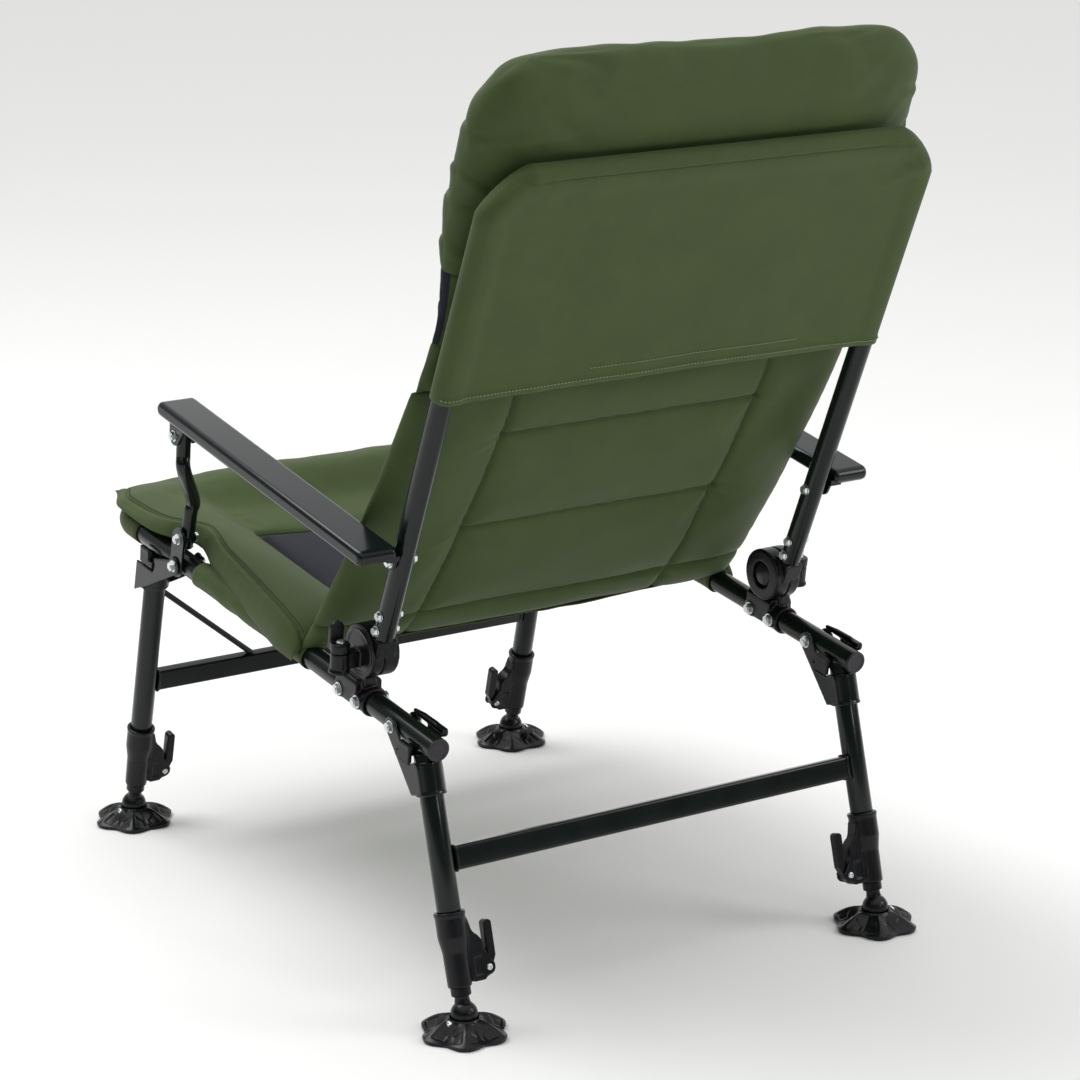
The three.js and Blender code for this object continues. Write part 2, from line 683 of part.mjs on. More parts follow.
function camLever() {
  const x = rail.spread;
  const top = cam.bladeTop;
  const half = (cam.bladeOut - cam.bladeIn) / 2;
  const share = cam.lobeShares;
  const tip = arc(x - cam.bladeIn - half, top - half, half, 0, 180, sides.bend);
  const blade = plateXZ([
    [x - cam.out, cam.height + cam.lobe * share.root],
    [x - cam.bladeIn, cam.height + cam.lobe * share.inner], ...tip,
    [x - cam.bladeOut, cam.height + cam.lobe * share.outer],
    [x - cam.out - cam.lobe * share.root, cam.height - cam.lobe * share.heel],
  ], cam.thick);
  return join(blade, rod('y', cam.lobe, -cam.thick / 2, cam.thick / 2, [x - cam.out, 0, cam.height]));
}

// Inner leg: a tube that slides in the outer one, a neck and the ball of the foot.
function innerLeg(leg) {
  const ballUp = ball.height / Math.cos(radians(leg.splay));
  const bottom = ballUp - ball.radius;
  const round = arc(0, ballUp, ball.radius, -90, 90 - 34, sides.small - 1);
  const profile = [
    [0, bottom], ...round.slice(1), [stem.neck, stem.neckTop], [stem.shoulder, stem.neckTop],
    [stem.shoulder, stem.shoulderTop], [stem.radius, stem.shoulderTop], [stem.radius, stem.top],
    [stem.bore, stem.top], [stem.bore, collar.bottom], [0, collar.bottom],
  ].map(([r, z]) => new THREE.Vector2(r, z));
  const turned = new THREE.LatheGeometry(profile, sides.tube).rotateX(Math.PI / 2);
  return join(turned.translate(rail.spread, 0, 0));
}

// Mud foot: a wavy-edged plate with ridges that rise to the socket of the ball.
function mudPad() {
  const steps = mudFoot.lobes * sides.lobe;
  const rings = [
    { r: 1, z: 0 }, { r: 1, z: mudFoot.rim }, { r: mudFoot.ridgeShare, z: mudFoot.ridge },
    { r: 0, z: mudFoot.hubTop },
  ];
  const points = [];
  rings.forEach((ring, level) => {
    for (let i = 0; i < steps; i++) {
      const a = (2 * Math.PI * i) / steps;
      const wave = (1 + Math.cos(mudFoot.lobes * a)) / 2;
      const edge = mudFoot.waist + (mudFoot.radius - mudFoot.waist) * wave;
      const r = mudFoot.hub + (edge - mudFoot.hub) * ring.r;
      const drop = level === 2 ? (1 - wave) * mudFoot.rim : 0;
      points.push(r * Math.cos(a), r * Math.sin(a), ring.z - drop);
    }
  });
  const floor = points.length / 3;
  points.push(0, 0, 0, 0, 0, mudFoot.hubTop);
  const faces = [];
  for (let level = 0; level + 1 < rings.length; level++) {
    for (let i = 0; i < steps; i++) {
      const a = level * steps + i;
      const b = level * steps + ((i + 1) % steps);
      faces.push(a, b, b + steps, a, b + steps, a + steps);
    }
  }
  const last = (rings.length - 1) * steps;
  for (let i = 0; i < steps; i++) {
    faces.push(floor, (i + 1) % steps, i, floor + 1, last + i, last + ((i + 1) % steps));
  }
  const geometry = new THREE.BufferGeometry();
  geometry.setAttribute('position', new THREE.Float32BufferAttribute(points, 3));
  geometry.setIndex(faces);
  return geometry;
}

function mudFootSolid() {
  const socket = new THREE.SphereGeometry(ball.radius + 2 * gap, sides.fine, sides.small)
    .translate(0, 0, ball.height);
  const wide = mudFoot.seat + ball.radius / 2;
  const mouth = new THREE.CylinderGeometry(wide, mudFoot.seat, ball.radius, sides.fine)
    .rotateX(Math.PI / 2)
    .translate(0, 0, ball.height + ball.radius / 2);
  return cut(mudPad(), socket, mouth);
}

// Latch: a rocker under the rail with a hook on one side and a thumb button on the other.
function latchBody(leg) {
  const s = leg.side;
  const x = rail.spread;
  const crossing = leg.crossing;
  const lipTop = latch.lipTop - leg.hookDrop;
  const lipBottom = latch.lipBottom - leg.hookDrop;
  const low = -latch.webTop - latch.thick;
  const armOut = latch.arm + latch.armThick;
  const buttonOut = latch.arm + latch.button;
  const span = (from, to) => [s * from, s * to].sort((a, b) => a - b);
  const web = span(legEdge(leg) - latch.webLong, legEdge(leg));
  const point = (from, z) => [s * (crossing + from), z];
  const tipUp = (lipTop + lipBottom) / 2;
  const bridge = block([x - armOut, x + buttonOut], web, [low, -latch.webTop]);
  const hookArm = block([x - armOut, x - latch.arm], web, [low, lipTop - gap]);
  const blade = plateYZ([
    point(-latch.bladeStep, lipBottom), point(-latch.bladeBack, lipBottom),
    point(-latch.bladeBack, tipUp), point(-latch.bladeStep, lipTop),
    point(latch.bladeFront, lipTop), point(latch.bladeFront, latch.bladeLow - leg.hookDrop),
    point(0, latch.bladeLow - leg.hookDrop - latch.thick),
  ], x - armOut, x - latch.arm);
  const lip = block(
    [x - armOut, x - latch.lipReach], span(crossing - latch.lip, crossing + latch.lip),
    [lipBottom, lipTop],
  );
  const button = block(
    [x + latch.arm, x + buttonOut],
    span(crossing - latch.buttonBack, crossing - latch.buttonBack + latch.buttonLong),
    [low, latch.buttonTop],
  );
  const ends = span(legEdge(leg) - latch.webLong - overrun, legEdge(leg) + overrun);
  const bore = rod('y', latch.bore, ...ends, [x, 0, -latch.webTop - latch.thick / 2], sides.small);
  return cut(join(bridge, hookArm, blade, lip, button), bore);
}

// Soft pieces. A pad is a closed quilt: a grid of points on its two faces that meet at the rim.
function quilt(cols, rows, middle, half) {
  const points = [];
  const index = [[], []];
  const rim = (i, j) => i === 0 || j === 0 || i === cols || j === rows;
  [1, -1].forEach((side, face) => {
    for (let j = 0; j <= rows; j++) {
      for (let i = 0; i <= cols; i++) {
        const u = (2 * i) / cols - 1;
        const v = j / rows;
        if (face === 1 && rim(i, j)) {
          index[1].push(index[0][j * (cols + 1) + i]);
          continue;
        }
        const [x, y, z] = middle(u, v, side, rim(i, j) ? 0 : half(u, v, side));
        index[face].push(points.length / 3);
        points.push(x, y, z);
      }
    }
  });
  const faces = [];
  index.forEach((grid, face) => {
    for (let j = 0; j < rows; j++) {
      for (let i = 0; i < cols; i++) {
        const a = grid[j * (cols + 1) + i];
        const b = grid[j * (cols + 1) + i + 1];
        const c = grid[(j + 1) * (cols + 1) + i + 1];
        const d = grid[(j + 1) * (cols + 1) + i];
        faces.push(...(face === 0 ? [a, b, c, a, c, d] : [a, c, b, a, d, c]));
      }
    }
  });
  const geometry = new THREE.BufferGeometry();
  geometry.setAttribute('position', new THREE.Float32BufferAttribute(points, 3));
  geometry.setIndex(faces);
  return geometry;
}

function smooth(share) {
  const t = Math.min(Math.max(share, 0), 1);
  return t * t * (3 - 2 * t);
}

// How far a place stands from a rim, as a share that rises quickly and then levels.
function crown(share, sharpness) {
  return (1 - Math.abs(share) ** sharpness) ** 0.5;
}

function groove(distance, width) {
  return Math.exp(-((distance / width) ** 2));
}

// Spreads grid columns so that they are closer together near the rims.
function eased(u) {
  return Math.sin((u * Math.PI) / 2) * 0.5 + u * 0.5;
}

// The height of the sling, which sags between the rails and carries the seat's cushion.
function slingHeight(x) {
  return sling.edgeUp - sling.sag * (1 - (x / sling.edge) ** 2);
}

function seatCushion() {
  const p = seatPad;
  const place = (u, v, side, half) => {
    const across = eased(u);
    const along = p.front + (p.rear - p.front) * v;
    const corner = p.corner * (1 - smooth((along - p.front) / p.roll));
    const pinch = (p.half - p.waist) * groove(along - p.waistAt, p.waistLong);
    const width = p.half - corner - pinch;
    const behindBar = smooth((along - rail.frontBar - p.bar / 2) / p.bar);
    const x = across * width;
    const onSling = behindBar * (1 - smooth((Math.abs(x) - p.lieTo) / (p.liftTo - p.lieTo)));
    const base = p.over - (p.over - slingHeight(x) - sling.thick / 2 - 2 * gap) * onSling;
    if (half === 0) return [x, along, base + p.rimUp];
    return [x, along, side > 0 ? base + p.rimUp + half * 2 : base];
  };
  const half = (u, v) => {
    const across = Math.abs(eased(u));
    const rims = crown(2 * v - 1, crownShares.seatRim) * crown(across, crownShares.seatRim);
    const side = smooth((2 * (across * p.half - p.mesh)) / (p.half - p.mesh));
    const front = 1 - smooth(v / p.rollShare);
    const body = p.middle + (p.bolster - p.middle) * Math.max(side, front);
    const seam = 1 - p.seamShare * groove(across * p.half - p.mesh, p.seamWide);
    return (body / 2) * rims * seam;
  };
  return quilt(20, 14, place, half);
}

// Where the middle of the back's cushion stands, ahead of the frame, at a height up the back.
function backPlane(up) {
  const below = backPad.planeAt - up;
  return backPad.planeBack - below * backPad.slopeShare - backPad.bow * (below / backPad.high) ** 2;
}

// One section of the back's quilt, between two heights up the back.
function backCushion(low, high, rows) {
  const p = backPad;
  const place = (u, v, side, half) => {
    const across = eased(u);
    const up = low + (high - low) * v;
    const width = p.half + (p.halfTop - p.half) * smooth((up - p.low) / (p.high - p.low));
    return [across * width, backPlane(up) + side * half, up];
  };
  const half = (u, v, side) => {
    const across = Math.abs(eased(u) * p.half);
    const up = low + (high - low) * v;
    const seams = Math.max(
      groove(across - p.seamX, p.groove),
      ...p.seams.map((level) => groove(up - level, p.groove) * (across < p.seamX ? 1 : 0)),
    );
    const rims = crown(2 * v - 1, crownShares.backEnd) * crown(eased(u), crownShares.backRim);
    return (p.thick / 2) * rims * (1 - (side > 0 ? p.rearShare : p.frontShare) * seams);
  };
  return quilt(20, rows, place, half);
}

function headCushion() {
  const p = headPad;
  const low = backPad.high + gap;
  const sewn = backPlane(backPad.high);
  const place = (u, v, side, half) => {
    const up = low + (p.high - low) * v;
    const left = p.high - up;
    const corner = left < p.corner ? p.corner - Math.sqrt(p.corner ** 2 - (p.corner - left) ** 2) : 0;
    const plane = sewn + (p.out - sewn) * smooth(v * p.swellShare);
    return [eased(u) * (p.half - corner * p.cornerShare), plane + side * half, up];
  };
  const half = (u, v) => {
    const body = p.thin + (p.bulge - p.thin) * smooth(v * p.swellShare);
    return (body / 2) * crown(2 * v - 1, crownShares.headEnd) * crown(eased(u), crownShares.headRim);
  };
  return quilt(16, 13, place, half);
}

// Back cover: a sheet drawn over the rear of the back tubes, with sleeves that wrap them.
function backCover() {
  const bore = [backTube.depth / 2, backTube.width / 2].map((r) => clearing(r, sides.tube));
  const flat = Math.cos(Math.PI / sides.tube);
  const route = backRoute().map(([x, y, z]) => [x, y, Math.max(z, cover.low)]);
  const inside = backRoute().map(([x, y, z]) => [x, y, Math.max(z, cover.low - overrun)]);
  const outer = sweep(ovalSection(bore[0] + cover.wall, bore[1] + cover.wall, sides.tube), route);
  const inner = sweep(ovalSection(bore[0], bore[1], sides.tube), inside);
  const middle = backTube.behind + (bore[0] + cover.wall / 2) * flat;
  const sheet = plateXZ(route.map(([x, , z]) => [x, z]), cover.sheet, middle);
  return cut(join(outer, sheet), inner);
}

// Seat sling: a sheet that sags between the rails, sewn into sleeves round them.
function slingSheet() {
  const place = (u, v, side) => {
    const along = rail.frontBar + rail.radius / 2 + (sling.rear - rail.frontBar - rail.radius / 2) * v;
    const x = u * sling.edge;
    return [x, along, slingHeight(x) + side * sling.thick / 2];
  };
  const cols = 10;
  const rows = 4;
  const top = [];
  [1, -1].forEach((side) => {
    for (let j = 0; j <= rows; j++) {
      for (let i = 0; i <= cols; i++) top.push(...place((2 * i) / cols - 1, j / rows, side));
    }
  });
  const layer = (cols + 1) * (rows + 1);
  const faces = [];
  const quad = (a, b, c, d) => faces.push(a, b, c, a, c, d);
  for (let j = 0; j < rows; j++) {
    for (let i = 0; i < cols; i++) {
      const a = j * (cols + 1) + i;
      quad(a, a + 1, a + cols + 2, a + cols + 1);
      quad(layer + a, layer + a + cols + 1, layer + a + cols + 2, layer + a + 1);
    }
  }
  for (let i = 0; i < cols; i++) {
    const far = rows * (cols + 1) + i;
    quad(i, layer + i, layer + i + 1, i + 1);
    quad(far + 1, layer + far + 1, layer + far, far);
  }
  for (let j = 0; j < rows; j++) {
    const a = j * (cols + 1);
    const b = a + cols;
    quad(a + cols + 1, layer + a + cols + 1, layer + a, a);
    quad(b, layer + b, layer + b + cols + 1, b + cols + 1);
  }
  const geometry = new THREE.BufferGeometry();
  geometry.setAttribute('position', new THREE.Float32BufferAttribute(top, 3));
  geometry.setIndex(faces);
  return geometry;
}

function seatSling() {
  const bore = clearing(rail.radius, sides.tube);
  const outer = bore + sleeve.wall;
  const sideSleeves = [1, -1].map((s) => rod('y', outer, sleeve.from, sleeve.to, [s * rail.spread, 0, 0]));
  const route = railRoute().filter(([, y]) => y < sleeve.front);
  const ends = [1, -1].map((s) => [s * rail.spread, sleeve.front, 0]);
  const front = sweep(ovalSection(outer, outer, sides.tube), [ends[0], ...route, ends[1]]);
  const inside = sweep(ovalSection(bore, bore, sides.tube), railRoute());
  const notches = [1, -1].map((s) => block(
    [s * sling.notch, s * (rail.spread + outer + overrun)], [sling.notchFrom, sling.notchTo],
    [-rail.bend, rail.bend],
  ));
  const cloth = cut(join(slingSheet(), ...sideSleeves), ...notches);
  return cut(join(cloth, front), inside);
}

// The whole chair.
function buildSeat() {
  const seat = groupIn(seatFrame);
  add(seat, 'seat_frame', seatTube(), finish.paint);
  add(seat, 'seat_sling', seatSling(), finish.fabric);
  add(seat, 'seat_pad', join(seatCushion()), finish.fabricPad);
  [rearLeg, frontLeg].forEach((leg) => {
    const end = leg.side > 0 ? 'rear' : 'front';
    hands.forEach(({ name, mirrored }) => {
      const body = latchBody(leg);
      if (mirrored) body.translate(-2 * rail.spread, 0, 0);
      add(seat, `latch_${end}_${name}`, body, finish.plastic);
    });
  });
  hands.forEach(({ name, mirrored }) => {
    const group = groupIn(seatFrame, mirrored);
    add(group, `rail_cap_${name}`, railCap(), finish.plastic);
    add(group, `hub_saddle_${name}`, hubSaddle(), finish.plastic);
    add(group, `hub_lever_${name}`, hubLever(), finish.plastic);
    add(group, `hub_bolt_${name}`, hubBolt(), finish.zinc);
    add(group, `post_strip_${name}`, postStrip(), finish.paint);
    add(group, `rear_pivot_bolt_${name}`, pivotBolt(rearLeg), finish.zinc);
    add(group, `front_pivot_bolt_${name}`, pivotBolt(frontLeg), finish.zinc);
  });
}

function buildBack() {
  const back = groupIn(backFrame);
  add(back, 'back_frame', backBow(), finish.paint);
  add(back, 'back_pad', join(backCushion(backPad.split + gap, backPad.high, 12)), finish.fabricPad);
  add(back, 'lumbar_pad', join(backCushion(backPad.low, backPad.split, 10)), finish.fabricPad);
  add(back, 'headrest_pad', join(headCushion()), finish.fabricPad);
  add(back, 'back_cover', backCover(), finish.fabric);
  hands.forEach(({ name, mirrored }) => {
    add(groupIn(backFrame, mirrored), `hub_rotor_${name}`, hubRotor(), finish.plastic);
    const arm = groupIn(armFrame, mirrored);
    add(arm, `armrest_${name}`, armBar(), finish.armPlastic);
    add(arm, `arm_rear_bolt_${name}`, armRearBolt(), finish.zinc);
    add(arm, `arm_clevis_${name}`, armClevis(), finish.paint);
    add(arm, `clevis_screw_${name}`, clevisScrew(), finish.zinc);
    add(groupIn(postFrame, mirrored), `arm_post_${name}`, armPost(), finish.paint);
  });
}

function buildLegs(leg) {
  const end = leg.side > 0 ? 'rear' : 'front';
  add(groupIn(legFrame(leg)), `${end}_crossbar`, crossbar(leg), finish.paint);
  const footAt = outOfFrame([0, ball.height / Math.cos(radians(leg.splay))], legFrame(leg));
  hands.forEach(({ name, mirrored }) => {
    const group = groupIn(legFrame(leg), mirrored);
    add(group, `${end}_leg_${name}`, legWithBracket(leg), finish.paint);
    add(group, `${end}_collar_${name}`, collarBody(), finish.plastic);
    add(group, `${end}_cam_lever_${name}`, camLever(), finish.plastic);
    add(group, `${end}_inner_leg_${name}`, innerLeg(leg), finish.plastic);
    const foot = mudFootSolid().translate(rail.spread, 0, 0);
    const ground = groupIn({ y: footAt[0], z: 0, tilt: 0 }, mirrored);
    add(ground, `${end}_mud_foot_${name}`, foot, finish.plastic);
  });
}

buildSeat();
buildBack();
buildLegs(rearLeg);
buildLegs(frontLeg);

export default chair;
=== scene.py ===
import math

import bmesh
import bpy
import numpy as np
from mathutils import Matrix, Vector


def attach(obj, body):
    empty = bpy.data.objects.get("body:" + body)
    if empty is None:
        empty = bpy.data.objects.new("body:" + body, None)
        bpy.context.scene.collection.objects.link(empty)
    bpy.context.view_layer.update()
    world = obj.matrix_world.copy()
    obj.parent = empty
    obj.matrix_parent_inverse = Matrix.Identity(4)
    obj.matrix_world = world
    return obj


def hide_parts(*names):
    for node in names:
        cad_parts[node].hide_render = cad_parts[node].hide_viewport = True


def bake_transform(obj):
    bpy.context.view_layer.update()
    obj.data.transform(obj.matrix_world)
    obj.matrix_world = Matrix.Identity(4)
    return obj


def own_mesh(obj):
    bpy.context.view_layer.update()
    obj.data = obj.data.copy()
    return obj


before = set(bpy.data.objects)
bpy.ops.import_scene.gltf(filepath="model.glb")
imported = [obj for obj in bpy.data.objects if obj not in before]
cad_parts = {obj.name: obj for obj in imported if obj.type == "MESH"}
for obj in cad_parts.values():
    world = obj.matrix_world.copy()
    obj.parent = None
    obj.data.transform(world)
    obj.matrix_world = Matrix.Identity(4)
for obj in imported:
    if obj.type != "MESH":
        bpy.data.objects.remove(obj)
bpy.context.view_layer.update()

mm = 0.001

# Places on the chair. Shapes are drawn in millimetres in the frame of the part they belong to,
# seen from the side, and toChair puts them in the chair's own frame in metres.
chairShift = -10.1
rails = {"spread": 268, "radius": 12.5, "height": 330, "tilt": -6.96, "rearEnd": 320,
         "frontBar": -389, "bend": 45}
hub = {"along": 173.1, "above": 51.4, "recline": -22.88, "radius": 29}
backTube = {"spread": 263, "behind": 16.5, "bottom": 30, "top": 566, "bend": 60, "halfX": 11,
            "halfY": 12}
armPivot = {"up": 128.3, "tilt": -2.2}
clevisPivot = {"along": 399.2, "below": 11.7}
postFoot = {"along": -212.6, "above": 33.5}
legSets = {
    "rear": {"side": 1, "foot": 373.6, "splay": 15.85, "pivot": 252.4, "crossbar": 181, "strip": 0},
    "front": {"side": -1, "foot": 372.7, "splay": 13.55, "pivot": 216.6, "crossbar": 191, "strip": 3.4},
}
hands = {"left": 1, "right": -1}


def placeAt(y, z, tilt):
    return {"y": y, "z": z, "turn": math.radians(tilt)}


def outOf(at, y, z):
    c, s = math.cos(at["turn"]), math.sin(at["turn"])
    return at["y"] + y * c - z * s, at["z"] + y * s + z * c


def into(at, y, z):
    c, s = math.cos(at["turn"]), math.sin(at["turn"])
    dy, dz = y - at["y"], z - at["z"]
    return dy * c + dz * s, -dy * s + dz * c


seatPlace = placeAt(0, rails["height"], rails["tilt"])
backPlace = placeAt(*outOf(seatPlace, hub["along"], hub["above"]), hub["recline"])
armPlace = placeAt(*outOf(backPlace, backTube["behind"], armPivot["up"]), rails["tilt"] + armPivot["tilt"])
postLow = outOf(seatPlace, postFoot["along"], postFoot["above"])
postHigh = outOf(armPlace, -clevisPivot["along"], -clevisPivot["below"])
postLean = math.degrees(math.atan2(postHigh[0] - postLow[0], postHigh[1] - postLow[1]))
postPlace = placeAt(*postLow, -postLean)
postLength = math.dist(postLow, postHigh)
legPlaces = {end: placeAt(leg["side"] * leg["foot"], 0, leg["side"] * leg["splay"])
             for end, leg in legSets.items()}


def toChair(points, at, hand=1):
    p = np.asarray(points, float).reshape(-1, 3)
    c, s = math.cos(at["turn"]), math.sin(at["turn"])
    y = at["y"] + p[:, 1] * c - p[:, 2] * s + chairShift
    z = at["z"] + p[:, 1] * s + p[:, 2] * c
    return np.stack([p[:, 0] * hand, y, z], axis=1) * mm


def toPart(points, at):
    p = np.asarray(points, float).reshape(-1, 3) / mm
    c, s = math.cos(at["turn"]), math.sin(at["turn"])
    y, z = p[:, 1] - chairShift - at["y"], p[:, 2] - at["z"]
    return np.stack([p[:, 0], y * c + z * s, -y * s + z * c], axis=1)


# Camera, lights and floor
view = {"eye": (1971.7, 3055.5 + chairShift, 1423.2), "yaw": 33.70, "pitch": 15.79, "roll": 0.355,
        "lens": 112.8, "sensor": 36, "farthest": 100}
lamps = {
    "key": {"at": (1.2, -1.4, 3.6), "aim": (0, 0, 0.4), "size": 2.4, "power": 70},
    "fill": {"at": (-2.6, 2.4, 2.0), "aim": (0, 0, 0.5), "size": 1.6, "power": 32},
    "edge": {"at": (-1.0, 4.2, 1.6), "aim": (0, 0, 0.5), "size": 0.5, "power": 9},
}
studio = {"dim": 0.08, "overhead": {"from": 0.35, "to": 0.95, "most": 1.2},
          "beyond": {"from": 0.1, "to": 0.8, "most": 0.95}, "beyondWay": (-0.56, -0.83, 0.0),
          "halfFloor": 40}


def newObject(name, data):
    thing = bpy.data.objects.new(name, data)
    bpy.context.scene.collection.objects.link(thing)
    return thing


def makeCamera():
    yaw, pitch, roll = (math.radians(view[k]) for k in ("yaw", "pitch", "roll"))
    look = Vector((-math.sin(yaw) * math.cos(pitch), -math.cos(yaw) * math.cos(pitch), -math.sin(pitch)))
    right = look.cross(Vector((0, 0, 1))).normalized()
    up = right.cross(look)
    right, up = (right * math.cos(roll) + up * math.sin(roll), up * math.cos(roll) - right * math.sin(roll))
    data = bpy.data.cameras.new("camera")
    data.lens, data.sensor_width, data.clip_end = view["lens"], view["sensor"], view["farthest"]
    camera = newObject("camera", data)
    turn = Matrix((right, up, -look)).transposed().to_4x4()
    camera.matrix_world = Matrix.Translation(Vector(view["eye"]) * mm) @ turn
    bpy.context.scene.camera = camera


def makeLight(name, at, aim, size, power):
    data = bpy.data.lights.new(name, "AREA")
    data.shape, data.size, data.energy = "DISK", size, power
    turn = (Vector(aim) - Vector(at)).to_track_quat("-Z", "Y").to_matrix().to_4x4()
    newObject(name, data).matrix_world = Matrix.Translation(at) @ turn


def linear(code):
    parts = [int(code[i:i + 2], 16) / 255 for i in (0, 2, 4)]
    return [c / 12.92 if c <= 0.04045 else ((c + 0.055) / 1.055) ** 2.4 for c in parts] + [1.0]


def addNode(tree, kind, settings=None, links=None):
    node = tree.nodes.new(kind)
    for key, value in (settings or {}).items():
        if isinstance(key, int) or key in node.inputs:
            node.inputs[key].default_value = value
        else:
            setattr(node, key, value)
    for key, source in (links or {}).items():
        tree.links.new(source, node.inputs[key])
    return node


def link(tree, source, node, socket):
    tree.links.new(source, node.inputs[socket])


# One step of arithmetic; each term is a number or the output of a node
def reckon(tree, operation, *terms):
    numbers = {i: term for i, term in enumerate(terms) if isinstance(term, (int, float))}
    sources = {i: term for i, term in enumerate(terms) if i not in numbers}
    return addNode(tree, "ShaderNodeMath", {"operation": operation, **numbers}, sources).outputs[0]


def newMaterial(name, colour, roughness, **settings):
    material = bpy.data.materials.new(name)
    material.use_nodes = True
    tree = material.node_tree
    tree.nodes.clear()
    shader = addNode(tree, "ShaderNodeBsdfPrincipled", {
        "Base Color": linear(colour), "Roughness": roughness, **settings})
    addNode(tree, "ShaderNodeOutputMaterial", links={"Surface": shader.outputs["BSDF"]})
    return material, tree, shader


def noise(tree, place, size, **settings):
    return addNode(tree, "ShaderNodeTexNoise", {"Scale": 1 / (size * mm), **settings},
                   {"Vector": place}).outputs["Fac"]


def addBump(tree, shader, height, strength, depth):
    bump = addNode(tree, "ShaderNodeBump", {"Strength": strength, "Distance": depth * mm}, {"Height": height})
    link(tree, bump.outputs["Normal"], shader, "Normal")


def addRamp(tree, shader, value, *stops):
    ramp = addNode(tree, "ShaderNodeValToRGB", links={"Fac": value})
    for mark, (place, colour) in zip(ramp.color_ramp.elements, stops):
        mark.position, mark.color = place, linear(colour)
    link(tree, ramp.outputs["Color"], shader, "Base Color")


# Woven polyester, coated on the back: matt, with a faint sheen where it turns away
def wovenCloth(name, colours):
    weave = {"thread": 1.7, "bend": 0.6, "height": 0.4, "bump": 0.3, "dye": 60}
    material, tree, shader = newMaterial(name, colours["mid"], 0.62, **{
        "Sheen Weight": 0.1, "Sheen Roughness": 0.35, "Specular IOR Level": 0.22})
    place = addNode(tree, "ShaderNodeUVMap", {"uv_map": "cloth"}).outputs["UV"]
    # a Wave texture turns 20 times its scale per metre
    bands = {"wave_type": "BANDS", "Scale": 2 * math.pi / (20 * weave["thread"] * mm),
             "Distortion": weave["bend"], "Detail": 1.0}
    threads = [addNode(tree, "ShaderNodeTexWave", {**bands, "bands_direction": way}, {"Vector": place})
               for way in ("X", "Y")]
    crossing = reckon(tree, "MULTIPLY", *[reckon(tree, "SUBTRACT", t.outputs["Fac"], 0.5) for t in threads])
    dye = noise(tree, place, weave["dye"], Detail=6.0, Roughness=0.7)
    tone = reckon(tree, "MULTIPLY_ADD", crossing, 1.5, dye)
    addRamp(tree, shader, tone, (0.25, colours["dark"]), (0.78, colours["light"]))
    link(tree, reckon(tree, "MULTIPLY_ADD", dye, 0.3, 0.5), shader, "Roughness")
    addBump(tree, shader, crossing, weave["bump"], weave["height"])
    return material


# Knitted spacer mesh: a dark net of small hollows
def spacerMesh():
    net = {"cell": 2.6, "uneven": 0.15, "bump": 0.6, "height": 0.8}
    material, tree, shader = newMaterial("spacerMesh", "23252e", 0.75, **{
        "Sheen Weight": 0.05, "Specular IOR Level": 0.15})
    place = addNode(tree, "ShaderNodeUVMap", {"uv_map": "cloth"}).outputs["UV"]
    cells = addNode(tree, "ShaderNodeTexVoronoi", {
        "Scale": 1 / (net["cell"] * mm), "Randomness": net["uneven"]}, {"Vector": place}).outputs["Distance"]
    addRamp(tree, shader, cells, (0.12, "0e0f13"), (0.42, "282a34"))
    addBump(tree, shader, cells, net["bump"], net["height"])
    return material


# Hard surfaces: fine noise for the skin of the finish and slow noise for handling marks
def hardFinish(name, colour, roughness, skin, spread=0.08, lift=0.0, **settings):
    markSize = 35
    material, tree, shader = newMaterial(name, colour, roughness, **settings)
    place = addNode(tree, "ShaderNodeTexCoord").outputs["Object"]
    marks = noise(tree, place, markSize, Detail=5.0)
    link(tree, reckon(tree, "MULTIPLY_ADD", marks, 2 * spread, roughness - spread), shader, "Roughness")
    if lift:
        base = linear(colour)
        lifted = [min(1, c * (1 + lift)) for c in base[:3]] + [1]
        tint = addNode(tree, "ShaderNodeMix", {"data_type": "RGBA", 6: base, 7: lifted}, {0: marks})
        link(tree, tint.outputs[2], shader, "Base Color")
    addBump(tree, shader, noise(tree, place, skin["grain"], Detail=2.0), skin["strength"], skin["depth"])
    return material


